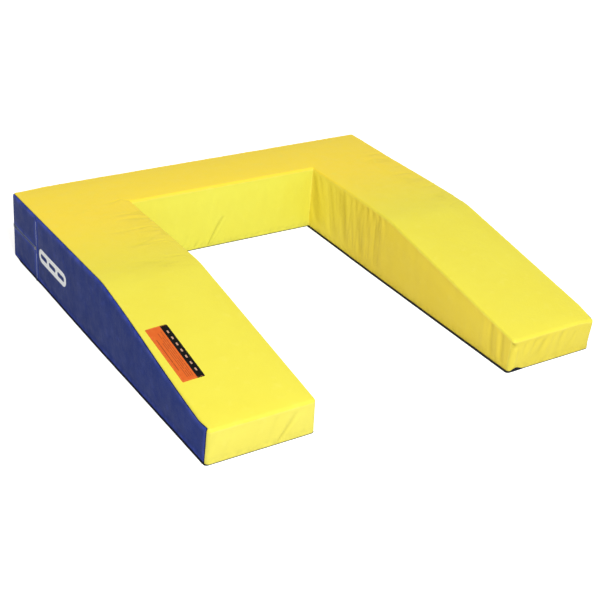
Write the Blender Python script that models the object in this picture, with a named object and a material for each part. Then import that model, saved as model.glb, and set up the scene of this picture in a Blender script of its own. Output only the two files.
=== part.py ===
"""Safety surround mat for a springboard: foam blocks in a sewn vinyl cover with a rear zip.

Metres, +Z up. The origin is on the floor face, on the symmetry plane and under the middle of the
crossbar's depth. Two arms reach towards -Y and slope down to their open ends. The bay between
them takes the springboard.
"""

import math

import bmesh
import bpy
from mathutils import Vector

# Whole mat
WIDTH = 1.220
LENGTH = 1.200
ARM_WIDTH = 0.290
CROSSBAR_DEPTH = 0.200
REAR_HEIGHT = 0.204
FRONT_HEIGHT = 0.100
SLOPE_LENGTH = 0.583
BEND_RADIUS = 0.300
CORNER_RADIUS = 0.010

# Cover and padding
VINYL = 0.0007
GAP = 0.0003
BASE_LIP = 0.005
TOP_PAD = 0.032
SIDE_SEAM_Y = -0.080

# Zip along the back and round the left rear corner, at mid height
ZIP_Z = REAR_HEIGHT / 2
MOUTH = 0.009
MOUTH_END_X = 0.590
MOUTH_TAPER = 0.004
TAPE_WIDTH = 0.0177
TAPE_THICKNESS = 0.0006
TAPE_SLOT = 0.0026
BEAD_WIDTH = 0.0026
BEAD_HEIGHT = 0.0024
STOP_LENGTH = 0.004
STOP_HEIGHT = 0.0039
TAPE_END_X = 0.583
STOP_X = 0.566

# Slider and pull, measured from the wall's outer face
SLIDER_LENGTH = 0.014
SLIDER_PARK_X = 0.555
PLATE_HALF = 0.0057
PLATE = 0.0014
NECK_HALF = 0.0008
NECK_LENGTH = 0.004
UNDER_PLATE_IN = -0.0036
OVER_PLATE_IN = 0.0023
FLANGE = 0.0012
FLANGE_IN = 0.0004
BAIL_HALF_LENGTH = 0.0042
BAIL_HALF_WIDTH = 0.0015
BAIL_OUT = 0.0076
BAIL_WALL = 0.0013
PULL_PIVOT_OUT = 0.0050
PULL_LENGTH = 0.032
PULL_THICKNESS = 0.0014
PULL_EYE_LENGTH = 0.0052
PULL_EYE_HALF = 0.0021
PULL_ARM_HALF = 0.0040
PULL_TAB_HALF = 0.0046
METAL_BEVEL = 0.0003

# Sewn patch on the left arm's slope and printed badge on its outer wall
PATCH_X = (-0.589, -0.528)
PATCH_Y = (-0.933, -0.729)
PATCH_CORNER = 0.003
PATCH_THICKNESS = 0.0005
BADGE_Y = -0.200
BADGE_Z = 0.097
BADGE_LENGTH = 0.196
BADGE_HEIGHT = 0.042
BADGE_STROKE = 0.014
BADGE_WINDOWS = 3
BADGE_THICKNESS = 0.00025

# Places that follow from the sizes above
HALF = WIDTH / 2
BAY_HALF = HALF - ARM_WIDTH
REAR_Y = CROSSBAR_DEPTH / 2
BAY_Y = -REAR_Y
FRONT_Y = REAR_Y - LENGTH
BREAK_Y = FRONT_Y + SLOPE_LENGTH
SLOPE = math.atan2(REAR_HEIGHT - FRONT_HEIGHT, SLOPE_LENGTH)
BEND_REAR_Y = BREAK_Y + BEND_RADIUS * math.tan(SLOPE / 2)
BEND_FRONT_Y = BEND_REAR_Y - BEND_RADIUS * math.sin(SLOPE)
LINING = VINYL + GAP
ARC_STEPS = 5
BEND_STEPS = 5

BEND_STATIONS = [
    BEND_REAR_Y - BEND_RADIUS * math.sin(SLOPE * step / BEND_STEPS) for step in range(BEND_STEPS + 1)
]

# name: (colour, roughness, metallic)
LOOKS = {
    "yellow_vinyl": ((0.90, 0.72, 0.08), 0.45, 0.0),
    "navy_vinyl": ((0.035, 0.05, 0.19), 0.45, 0.0),
    "base_vinyl": ((0.01, 0.011, 0.016), 0.6, 0.0),
    "block_foam": ((0.55, 0.52, 0.42), 0.95, 0.0),
    "pad_foam": ((0.75, 0.75, 0.72), 0.9, 0.0),
    "zip_tape": ((0.015, 0.017, 0.04), 0.9, 0.0),
    "zip_teeth": ((0.02, 0.02, 0.03), 0.4, 0.0),
    "zip_metal": ((0.6, 0.6, 0.58), 0.3, 1.0),
    "patch": ((0.8, 0.15, 0.03), 0.5, 0.0),
    "badge": ((0.85, 0.86, 0.88), 0.5, 0.0),
}


def clear_scene():
    for obj in list(bpy.data.objects):
        bpy.data.objects.remove(obj, do_unlink=True)


def top_z(y):
    """Height of the mat's upper face: level, one soft bend, then a straight slope to the ends."""
    if y >= BEND_REAR_Y:
        return REAR_HEIGHT
    if y <= BEND_FRONT_Y:
        return FRONT_HEIGHT + (y - FRONT_Y) * math.tan(SLOPE)
    return REAR_HEIGHT - BEND_RADIUS + math.sqrt(BEND_RADIUS**2 - (BEND_REAR_Y - y) ** 2)


def under_top(depth):
    """A surface that keeps one depth below the upper face."""
    return lambda x, y: top_z(y) - depth


def level(z):
    return lambda x, y: z


def rounded(corners):
    """Closed outline through right-angled corners (x, y, radius); a radius of nought stays sharp."""
    points = []
    for index, (x, y, radius) in enumerate(corners):
        here = Vector((x, y))
        if not radius:
            points.append(here)
            continue
        back = (Vector(corners[index - 1][:2]) - here).normalized()
        on = (Vector(corners[(index + 1) % len(corners)][:2]) - here).normalized()
        centre = here + (back + on) * radius
        for step in range(ARC_STEPS + 1):
            angle = math.pi / 2 * step / ARC_STEPS
            points.append(centre - on * radius * math.cos(angle) - back * radius * math.sin(angle))
    return points


def mat_outline(inset):
    """The whole U seen from above, drawn in by an inset."""
    radius = CORNER_RADIUS - inset
    side, bay = HALF - inset, BAY_HALF + inset
    rear, back, front = REAR_Y - inset, BAY_Y + inset, FRONT_Y + inset
    return [
        (-side, front, radius),
        (-bay, front, radius),
        (-bay, back, 0),
        (bay, back, 0),
        (bay, front, radius),
        (side, front, radius),
        (side, rear, radius),
        (-side, rear, radius),
    ]


def crossbar_outline():
    """The crossbar's foam, behind the bay."""
    side, radius = HALF - LINING, CORNER_RADIUS - LINING
    front, rear = BAY_Y + LINING, REAR_Y - LINING
    return [(-side, front, 0), (side, front, 0), (side, rear, radius), (-side, rear, radius)]


def arm_outline(hand):
    """One arm's foam, from the crossbar to the open end; hand is -1 for left and 1 for right."""
    radius = CORNER_RADIUS - LINING
    low, high = sorted((hand * (HALF - LINING), hand * (BAY_HALF + LINING)))
    front, rear = FRONT_Y + LINING, BAY_Y + LINING - GAP
    return [(low, front, radius), (high, front, radius), (high, rear, 0), (low, rear, 0)]


def rectangle(x_span, y_span, radius):
    (x0, x1), (y0, y1) = x_span, y_span
    return [(x0, y0, radius), (x1, y0, radius), (x1, y1, radius), (x0, y1, radius)]


def material(name):
    """The named finish, made once."""
    if name in bpy.data.materials:
        return bpy.data.materials[name]
    colour, roughness, metallic = LOOKS[name]
    made = bpy.data.materials.new(name)
    made.use_nodes = True
    shader = made.node_tree.nodes["Principled BSDF"]
    shader.inputs["Base Color"].default_value = (*colour, 1.0)
    shader.inputs["Roughness"].default_value = roughness
    shader.inputs["Metallic"].default_value = metallic
    return made


def finish(bm, name, look):
    """Turn a bmesh into a named object with outward faces and one material."""
    bmesh.ops.recalc_face_normals(bm, faces=bm.faces[:])
    mesh = bpy.data.meshes.new(name)
    bm.to_mesh(mesh)
    bm.free()
    mesh.materials.append(material(look))
    obj = bpy.data.objects.new(name, mesh)
    bpy.context.scene.collection.objects.link(obj)
    return obj


def slab(name, corners, low, high, look):
    """A solid over a plan outline, between two surfaces that may bend with the mat's slope."""
    bm = bmesh.new()
    bm.faces.new([bm.verts.new((x, y, 0.0)) for x, y in rounded(corners)])
    for y in BEND_STATIONS:
        everything = bm.verts[:] + bm.edges[:] + bm.faces[:]
        bmesh.ops.bisect_plane(bm, geom=everything, plane_co=(0, y, 0), plane_no=(0, 1, 0))
    raised = bmesh.ops.extrude_face_region(bm, geom=bm.faces[:])["geom"]
    upper = {item for item in raised if isinstance(item, bmesh.types.BMVert)}
    for vert in bm.verts:
        surface = high if vert in upper else low
        vert.co.z = surface(vert.co.x, vert.co.y)
    return finish(bm, name, look)


def strip(name, stations, offsets, low, high, look):
    """A wall or band swept along plan stations (x, y, outward x, outward y)."""
    inner, outer = offsets
    bm = bmesh.new()
    rings = []
    for x, y, out_x, out_y in stations:
        ring = []
        for offset, surface in ((outer, low), (outer, high), (inner, high), (inner, low)):
            px, py = x + out_x * offset, y + out_y * offset
            ring.append(bm.verts.new((px, py, surface(px, py))))
        rings.append(ring)
    for ring, following in zip(rings, rings[1:]):
        for k in range(4):
            n = (k + 1) % 4
            bm.faces.new((ring[k], following[k], following[n], ring[n]))
    bm.faces.new(rings[0])
    bm.faces.new(rings[-1])
    return finish(bm, name, look)


def prism(name, loop, place, depth, look):
    """A flat loop pushed through a depth; place(a, b, t) puts loop point a, b at depth t."""
    bm = bmesh.new()
    near = [bm.verts.new(place(a, b, depth[0])) for a, b in loop]
    far = [bm.verts.new(place(a, b, depth[1])) for a, b in loop]
    bm.faces.new(near)
    bm.faces.new(far)
    for k in range(len(loop)):
        n = (k + 1) % len(loop)
        bm.faces.new((near[k], near[n], far[n], far[k]))
    return finish(bm, name, look)


def box(name, spans, look):
    """A block between three (low, high) spans."""
    (x0, x1), (y0, y1), z_span = spans
    loop = [(x0, y0), (x1, y0), (x1, y1), (x0, y1)]
    return prism(name, loop, lambda a, b, t: (a, b, t), z_span, look)


def combine(target, tool, operation):
    """Cut or join with a guide solid, which stays in the file as a wire."""
    tool.hide_render = True
    tool.display_type = "WIRE"
    change = target.modifiers.new(tool.name, "BOOLEAN")
    change.operation = operation
    change.object = tool


def soften(obj, width):
    """A small flat bevel on metal edges."""
    bevel = obj.modifiers.new("softened_edges", "BEVEL")
    bevel.width = width
    bevel.segments = 1
    bevel.limit_method = "ANGLE"


def turn(x, y, first, last):
    """Stations round an upright corner centred on x, y, from one outward bearing to another."""
    stations = []
    for step in range(ARC_STEPS + 1):
        bearing = math.radians(first + (last - first) * step / ARC_STEPS)
        out_x, out_y = math.cos(bearing), math.sin(bearing)
        stations.append((x + CORNER_RADIUS * out_x, y + CORNER_RADIUS * out_y, out_x, out_y))
    return stations


def mirrored(stations):
    return [(-x, y, -out_x, out_y) for x, y, out_x, out_y in stations]


def left_side_stations():
    """From the left arm's front face round its outer corner and back to the side seam."""
    corner = turn(-HALF + CORNER_RADIUS, FRONT_Y + CORNER_RADIUS, 270, 180)
    bends = [(-HALF, y, -1, 0) for y in reversed(BEND_STATIONS)]
    return corner + bends + [(-HALF, SIDE_SEAM_Y - GAP / 2, -1, 0)]


def left_end_stations():
    """Across the left arm's front face and round its inner corner."""
    start = (-HALF + CORNER_RADIUS + GAP, FRONT_Y, 0, -1)
    return [start] + turn(-BAY_HALF - CORNER_RADIUS, FRONT_Y + CORNER_RADIUS, 270, 360)


def bay_left_stations():
    """Along the bay's left wall, from the open end to the crossbar."""
    front = (-BAY_HALF, FRONT_Y + CORNER_RADIUS + GAP, 1, 0)
    bends = [(-BAY_HALF, y, 1, 0) for y in reversed(BEND_STATIONS)]
    return [front] + bends + [(-BAY_HALF, BAY_Y - GAP / 2, 1, 0)]


def rear_stations():
    """From the right side seam round both rear corners to the left side seam."""
    seam_y = SIDE_SEAM_Y + GAP / 2
    corner_x, corner_y = HALF - CORNER_RADIUS, REAR_Y - CORNER_RADIUS
    mouth_end = [(MOUTH_END_X + MOUTH_TAPER, REAR_Y, 0, 1), (MOUTH_END_X, REAR_Y, 0, 1)]
    return (
        [(HALF, seam_y, 1, 0)]
        + turn(corner_x, corner_y, 0, 90)
        + mouth_end
        + turn(-corner_x, corner_y, 90, 180)
        + [(-HALF, seam_y, -1, 0)]
    )


def zip_stations(right_x, left_y):
    """The zip's line: from a point on the back, round the left rear corner, to the left side."""
    corner = turn(-HALF + CORNER_RADIUS, REAR_Y - CORNER_RADIUS, 90, 180)
    return [(right_x, REAR_Y, 0, 1)] + corner + [(-HALF, left_y, -1, 0)]


def mouth_edge(hand):
    """Edge of a rear band: clear of the zip, closing to a plain seam past the zip's right end."""

    def edge(x, y):
        closed = x > MOUTH_END_X + MOUTH_TAPER / 2
        return ZIP_Z + hand * (GAP / 2 if closed else MOUTH / 2)

    return edge


def foam_blocks():
    """Three glued blocks of urethane foam, the crossbar's relieved behind the zip."""
    low, high = level(LINING), under_top(LINING + TOP_PAD + GAP)
    crossbar = slab("crossbar_foam", crossbar_outline(), low, high, "block_foam")
    slab("left_arm_foam", arm_outline(-1), low, high, "block_foam")
    slab("right_arm_foam", arm_outline(1), low, high, "block_foam")
    clear = 0.005
    tape_reach = TAPE_SLOT / 2 + TAPE_WIDTH + 2 * GAP
    for name, depth, reach in (
        ("tape_relief", LINING + TAPE_THICKNESS + GAP, tape_reach),
        ("slider_relief", -UNDER_PLATE_IN + 2 * GAP, PLATE_HALF + 4 * GAP),
    ):
        path = zip_stations(TAPE_END_X + 3 * GAP, SIDE_SEAM_Y)
        span = (level(ZIP_Z - reach), level(ZIP_Z + reach))
        combine(crossbar, strip(name, path, (-depth, clear), *span, "block_foam"), "DIFFERENCE")


def top_pads():
    """Firm sheets on top of the blocks, the arms' bending with the slope."""
    low, high = under_top(LINING + TOP_PAD), under_top(LINING)
    slab("crossbar_top_pad", crossbar_outline(), low, high, "pad_foam")
    slab("left_arm_top_pad", arm_outline(-1), low, high, "pad_foam")
    slab("right_arm_top_pad", arm_outline(1), low, high, "pad_foam")


def top_cover():
    slab("top_cover", mat_outline(0), under_top(VINYL), under_top(0), "yellow_vinyl")


def base_cover():
    """A shallow tray: the non-slip base turns up a few millimetres to its seam."""
    tray = slab("base_cover", mat_outline(0), level(0), level(BASE_LIP), "base_vinyl")
    inside = slab("base_inside", mat_outline(VINYL), level(VINYL), level(2 * BASE_LIP), "base_vinyl")
    combine(tray, inside, "DIFFERENCE")


def wall_panels():
    """Upright panels between the base's seam and the top's."""
    low, high = level(BASE_LIP + GAP), under_top(VINYL + GAP)
    skin = (-VINYL, 0)
    side, end, bay = left_side_stations(), left_end_stations(), bay_left_stations()
    strip("left_side_cover", side, skin, low, high, "navy_vinyl")
    strip("right_side_cover", mirrored(side), skin, low, high, "navy_vinyl")
    strip("left_end_cover", end, skin, low, high, "yellow_vinyl")
    strip("right_end_cover", mirrored(end), skin, low, high, "yellow_vinyl")
    strip("bay_left_cover", bay, skin, low, high, "yellow_vinyl")
    strip("bay_right_cover", mirrored(bay), skin, low, high, "yellow_vinyl")
    back = [(x, BAY_Y, 0, -1) for x in (-BAY_HALF + GAP, BAY_HALF - GAP)]
    strip("bay_back_cover", back, skin, low, high, "yellow_vinyl")


def rear_bands():
    """Two navy bands round the back, parted by the zip's mouth."""
    skin = (-VINYL, 0)
    low, high = level(BASE_LIP + GAP), under_top(VINYL + GAP)
    strip("rear_band_upper", rear_stations(), skin, mouth_edge(1), high, "navy_vinyl")
    strip("rear_band_lower", rear_stations(), skin, low, mouth_edge(-1), "navy_vinyl")


def zip_line(name, stations, offsets, near, far, look):
    """A pair of strips on either side of the zip's centre line."""
    for side, hand in (("upper", 1), ("lower", -1)):
        low, high = sorted((ZIP_Z + hand * near, ZIP_Z + hand * far))
        strip(f"{name}_{side}", stations, offsets, level(low), level(high), look)


def zip_tapes():
    offsets = (-LINING - TAPE_THICKNESS, -LINING)
    path = zip_stations(TAPE_END_X, SIDE_SEAM_Y + GAP)
    near = TAPE_SLOT / 2
    zip_line("zip_tape", path, offsets, near, near + TAPE_WIDTH, "zip_tape")


def zip_teeth():
    """The two rows of teeth as plain beads, standing apart so that the slider's neck can pass."""
    offsets = (-VINYL, -VINYL + BEAD_HEIGHT)
    start_y = SIDE_SEAM_Y + STOP_LENGTH + 3 * GAP
    near = TAPE_SLOT / 2
    path = zip_stations(STOP_X - GAP, start_y)
    zip_line("zip_teeth", path, offsets, near, near + BEAD_WIDTH, "zip_teeth")


def zip_stops():
    """One stop across both rows where the zip starts, and one on each row where it ends."""
    out = (-VINYL, -VINYL + STOP_HEIGHT)
    near, far = TAPE_SLOT / 2, TAPE_SLOT / 2 + BEAD_WIDTH + GAP
    start = [(-HALF, SIDE_SEAM_Y + GAP * 2 + STOP_LENGTH, -1, 0), (-HALF, SIDE_SEAM_Y + GAP * 2, -1, 0)]
    strip("zip_start_stop", start, out, level(ZIP_Z - far), level(ZIP_Z + far), "zip_metal")
    end = [(STOP_X, REAR_Y, 0, 1), (STOP_X + STOP_LENGTH, REAR_Y, 0, 1)]
    zip_line("zip_end_stop", end, out, near, far, "zip_metal")


def zip_slider():
    """Two plates on a neck, side flanges over the teeth, and a bail for the pull."""
    ends = (-SLIDER_LENGTH / 2, SLIDER_LENGTH / 2)
    over_out = OVER_PLATE_IN + PLATE
    flange_inner = PLATE_HALF - FLANGE
    cap = [
        (FLANGE_IN, -PLATE_HALF),
        (over_out, -PLATE_HALF),
        (over_out, PLATE_HALF),
        (FLANGE_IN, PLATE_HALF),
        (FLANGE_IN, flange_inner),
        (OVER_PLATE_IN, flange_inner),
        (OVER_PLATE_IN, -flange_inner),
        (FLANGE_IN, -flange_inner),
    ]
    slider = prism("zip_slider", cap, lambda a, b, t: (t, a, b), ends, "zip_metal")
    under = (UNDER_PLATE_IN, UNDER_PLATE_IN + PLATE)
    under_half = PLATE_HALF - FLANGE / 2
    neck = (NECK_LENGTH - SLIDER_LENGTH / 2, -SLIDER_LENGTH / 2)
    parts = [
        box("slider_under_plate", (ends, under, (-under_half, under_half)), "zip_metal"),
        box(
            "slider_neck",
            (sorted(neck), (UNDER_PLATE_IN + PLATE / 2, over_out - PLATE / 2), (-NECK_HALF, NECK_HALF)),
            "zip_metal",
        ),
    ]
    inner = BAIL_HALF_LENGTH - BAIL_WALL
    foot = over_out - PLATE / 2
    arch = [
        (-BAIL_HALF_LENGTH, foot),
        (-inner, foot),
        (-inner, BAIL_OUT - BAIL_WALL),
        (inner, BAIL_OUT - BAIL_WALL),
        (inner, foot),
        (BAIL_HALF_LENGTH, foot),
        (BAIL_HALF_LENGTH, BAIL_OUT - BAIL_WALL),
        (inner, BAIL_OUT),
        (-inner, BAIL_OUT),
        (-BAIL_HALF_LENGTH, BAIL_OUT - BAIL_WALL),
    ]
    width = (-BAIL_HALF_WIDTH, BAIL_HALF_WIDTH)
    parts.append(prism("slider_bail", arch, lambda a, b, t: (a, b, t), width, "zip_metal"))
    for part in parts:
        combine(slider, part, "UNION")
    for obj in [slider] + parts:
        obj.location = (SLIDER_PARK_X, REAR_Y, ZIP_Z)


def zip_pull():
    """A tab whose eye holds a bar under the bail; the object's origin is on the bar's axis."""
    half = PULL_THICKNESS / 2
    outer = [
        (-half, -PULL_ARM_HALF),
        (PULL_EYE_LENGTH, -PULL_ARM_HALF),
        (PULL_EYE_LENGTH * 2, -PULL_TAB_HALF),
        (PULL_LENGTH - PULL_TAB_HALF / 2, -PULL_TAB_HALF),
        (PULL_LENGTH, -PULL_TAB_HALF / 2),
        (PULL_LENGTH, PULL_TAB_HALF / 2),
        (PULL_LENGTH - PULL_TAB_HALF / 2, PULL_TAB_HALF),
        (PULL_EYE_LENGTH * 2, PULL_TAB_HALF),
        (PULL_EYE_LENGTH, PULL_ARM_HALF),
        (-half, PULL_ARM_HALF),
    ]
    pull = prism("zip_pull", outer, lambda a, b, t: (a, t, b), (-half, half), "zip_metal")
    through = (-PULL_THICKNESS, PULL_THICKNESS)
    eye_span = ((half, PULL_EYE_LENGTH), through, (-PULL_EYE_HALF, PULL_EYE_HALF))
    eye = box("pull_eye", eye_span, "zip_metal")
    combine(pull, eye, "DIFFERENCE")
    soften(pull, METAL_BEVEL)
    for obj in (pull, eye):
        obj.location = (SLIDER_PARK_X, REAR_Y + PULL_PIVOT_OUT, ZIP_Z)


def caution_patch():
    """A blank information patch sewn flat on the left arm's slope."""
    outline = rectangle(PATCH_X, PATCH_Y, PATCH_CORNER)
    low, high = under_top(-GAP), under_top(-GAP - PATCH_THICKNESS)
    slab("caution_patch", outline, low, high, "patch")


def side_badge():
    """A plain printed badge on the left wall: a rounded bar with a row of windows."""
    y_span = (BADGE_Y - BADGE_LENGTH / 2, BADGE_Y + BADGE_LENGTH / 2)
    z_span = (BADGE_Z - BADGE_HEIGHT / 2, BADGE_Z + BADGE_HEIGHT / 2)

    def on_wall(a, b, t):
        return (-HALF - t, a, b)

    skin = (GAP, GAP + BADGE_THICKNESS)
    loop = rounded(rectangle(y_span, z_span, BADGE_HEIGHT / 2))
    badge = prism("side_badge", loop, on_wall, skin, "badge")
    pitch = (BADGE_LENGTH - BADGE_STROKE) / BADGE_WINDOWS
    window_z = (z_span[0] + BADGE_STROKE, z_span[1] - BADGE_STROKE)
    radius = (window_z[1] - window_z[0]) / 2 - GAP
    for index in range(BADGE_WINDOWS):
        start = y_span[0] + BADGE_STROKE + index * pitch
        window = rounded(rectangle((start, start + pitch - BADGE_STROKE), window_z, radius))
        cutter = prism(f"badge_window_{index}", window, on_wall, (0, 4 * GAP), "badge")
        combine(badge, cutter, "DIFFERENCE")


def build():
    clear_scene()
    foam_blocks()
    top_pads()
    top_cover()
    base_cover()
    wall_panels()
    rear_bands()
    zip_tapes()
    zip_teeth()
    zip_stops()
    zip_slider()
    zip_pull()
    caution_patch()
    side_badge()


build()
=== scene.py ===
"""Looks for the springboard surround mat: the sewn vinyl cover, its zip, patch and badge, and the studio.

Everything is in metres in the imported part's frame: +X right, +Y to the closed rear, +Z up.
"""

import math

import bmesh
import bpy
import numpy as np
from mathutils import Matrix, Vector
from mathutils.bvhtree import BVHTree
from mathutils.interpolate import poly_3d_calc
from mathutils.kdtree import KDTree


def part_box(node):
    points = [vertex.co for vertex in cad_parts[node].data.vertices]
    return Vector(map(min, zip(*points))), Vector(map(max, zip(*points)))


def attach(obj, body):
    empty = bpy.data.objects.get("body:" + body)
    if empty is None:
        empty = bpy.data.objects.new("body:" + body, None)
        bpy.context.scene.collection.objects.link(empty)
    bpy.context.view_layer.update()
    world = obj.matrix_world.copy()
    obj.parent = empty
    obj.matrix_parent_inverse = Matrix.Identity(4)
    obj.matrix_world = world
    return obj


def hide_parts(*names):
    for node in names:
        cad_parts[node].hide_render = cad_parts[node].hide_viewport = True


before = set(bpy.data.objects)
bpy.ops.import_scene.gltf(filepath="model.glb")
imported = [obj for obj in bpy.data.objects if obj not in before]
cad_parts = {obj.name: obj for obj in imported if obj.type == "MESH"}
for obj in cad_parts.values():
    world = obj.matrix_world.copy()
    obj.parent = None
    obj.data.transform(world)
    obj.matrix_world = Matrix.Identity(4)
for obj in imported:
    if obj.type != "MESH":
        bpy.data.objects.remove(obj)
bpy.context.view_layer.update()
rng = np.random.default_rng(48)

MM = 0.001
CLOTH_LIMIT = 3.2 * MM


# ---------------------------------------------------------------- sizes, read from the frame


def node_points(node):
    return np.array([v.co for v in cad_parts[node].data.vertices], float)


TOP_LOW, TOP_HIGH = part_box("top_cover")
SIDE = TOP_HIGH.x
REAR = TOP_HIGH.y
FRONT = TOP_LOW.y
HEIGHT = TOP_HIGH.z
BAY = -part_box("bay_left_cover")[1].x
BAY_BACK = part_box("bay_back_cover")[0].y
SEAM_Y = (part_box("left_side_cover")[1].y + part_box("rear_band_upper")[0].y) / 2
LIP = 3 * MM
ZIP_Z = (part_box("zip_teeth_upper")[0].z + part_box("zip_teeth_lower")[1].z) / 2
BAND = node_points("rear_band_upper")
MOUTH = BAND[BAND[:, 0] < 0][:, 2].min() - ZIP_Z
MOUTH_END = BAND[np.abs(BAND[:, 2] - ZIP_Z - MOUTH) < 0.1 * MM][:, 0].max()
CORNER = 10 * MM
WRAP_Y = FRONT + CORNER

_top = node_points("top_cover")
_top = _top[_top[:, 0] < -BAY]
_ys = np.unique(np.round(_top[:, 1], 5))
_zs = np.array([_top[np.abs(_top[:, 1] - y) < 2e-5][:, 2].max() for y in _ys])


def top_z(y):
    """Height of the CAD's upper face, level at the rear and sloping to the open ends."""
    return np.interp(y, _ys, _zs)


def smooth(value, start, end):
    """0 before start, 1 after end, an S-curve between."""
    t = np.clip((value - start) / (end - start), 0, 1)
    return t * t * (3 - 2 * t)


# ---------------------------------------------------------------- the cover's base mesh

BEND_Y = -0.66
ROLL = 8 * MM
SEAM_INSET = 5.8 * MM
SEWN = np.array([0, 1, 2.2, 3.4, 4.4, 5.2, 5.8, 6.4, 7.4, 8.8, 10, 12, 15, 19, 24, 30]) * MM
FOLDED = np.array([0, 1.4, 3, 5, 7, 10, 14, 20]) * MM
LAPPED = np.array([0, 0.7, 1.4, 2.4, 4, 6, 9, 13]) * MM
BASE_SEAM = np.array([0, 1.2, 3, 6, 10, 16]) * MM


def graded(start, end, near_start, near_end, step):
    """Grid lines from start to end, close together where a seam or fold needs them."""
    span = end - start
    first = [o for o in near_start if o < span / 2 - MM / 4]
    last = [o for o in near_end if o < span / 2 - MM / 4]
    inner = span - first[-1] - last[-1]
    count = max(1, round(inner / step))
    middle = [start + first[-1] + inner * k / count for k in range(1, count)]
    return [start + o for o in first] + middle + [end - o for o in reversed(last)]


WALL_TOP = HEIGHT - ROLL


def grid_lines(sewn, folded, lapped, base, step, fine_step, wall_step):
    """Grid lines of the unrolled cover along X, along Y and up a full-height wall."""
    x_lines = (
        graded(-SIDE, -BAY, sewn, folded, 0.85 * step)
        + graded(-BAY, BAY, folded, folded, 0.75 * step)[1:]
        + graded(BAY, SIDE, folded, sewn, 0.75 * step)[1:]
    )
    y_lines = (
        graded(FRONT, BEND_Y, folded, [0], step)
        + graded(BEND_Y, BAY_BACK, [0], folded, fine_step)[1:]
        + graded(BAY_BACK, SEAM_Y, folded, lapped, step)[1:]
        + graded(SEAM_Y, REAR, lapped, sewn, step)[1:]
    )
    mouth = lapped[:4]
    wall_lines = graded(LIP, ZIP_Z - MOUTH, base, mouth, wall_step) + [ZIP_Z]
    wall_lines += graded(ZIP_Z + MOUTH, WALL_TOP, mouth, base, wall_step)
    return np.array(x_lines), np.array(y_lines), np.array(wall_lines)


def line_index(lines, value):
    return int(np.argmin(np.abs(lines - value)))


def round_corner(x, y):
    """Move plan points so that the six outer corners become round; returns points and outward bearings."""
    x, y = x.copy(), y.copy()
    corners = [(sx * (SIDE - CORNER), REAR - CORNER, sx, 1) for sx in (-1, 1)]
    corners += [(sx * (SIDE - CORNER), FRONT + CORNER, sx, -1) for sx in (-1, 1)]
    corners += [(sx * (BAY + CORNER), FRONT + CORNER, -sx, -1) for sx in (-1, 1)]
    for cx, cy, sx, sy in corners:
        a, b = (x - cx) * sx / CORNER, (y - cy) * sy / CORNER
        here = (a > 0) & (b > 0) & (a < 1.001) & (b < 1.001)
        a, b = a[here], b[here]
        x[here] = cx + sx * CORNER * a * np.sqrt(1 - b * b / 2)
        y[here] = cy + sy * CORNER * b * np.sqrt(1 - a * a / 2)
    return x, y


def edge_distance(x, y):
    """Plan distance from a point to the nearest edge of the mat."""
    ax = np.abs(x)
    d = np.minimum(np.minimum(SIDE - ax, REAR - y), 1.0)
    arm = y < BAY_BACK
    d = np.where(arm, np.minimum(d, np.minimum(y - FRONT, ax - BAY)), d)
    behind = np.where(ax < BAY, y - BAY_BACK, np.hypot(ax - BAY, y - BAY_BACK))
    d = np.where(arm, d, np.minimum(d, behind))
    for cx, cy, sx, sy in (
        (SIDE - CORNER, REAR - CORNER, 1, 1),
        (SIDE - CORNER, FRONT + CORNER, 1, -1),
        (BAY + CORNER, FRONT + CORNER, -1, -1),
    ):
        a, b = (ax - cx) * sx, (y - cy) * sy
        d = np.where((a > 0) & (b > 0), CORNER - np.hypot(a, b), d)
    return np.maximum(d, 0)


def corner_column(panel, y):
    """Whether a side wall's column belongs to the end cover, which wraps round the arm's corners."""
    toward_rear = panel in ("bay_right_cover", "left_side_cover")
    return y < WRAP_Y - MM / 4 if toward_rear else y <= WRAP_Y + MM / 4


def mouth_gather(y):
    """How much closer the zip's mouth is drawn on the left wall, where the slider never comes."""
    return 4.6 * MM * float(smooth(REAR - CORNER - y, 0, 50 * MM))


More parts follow.
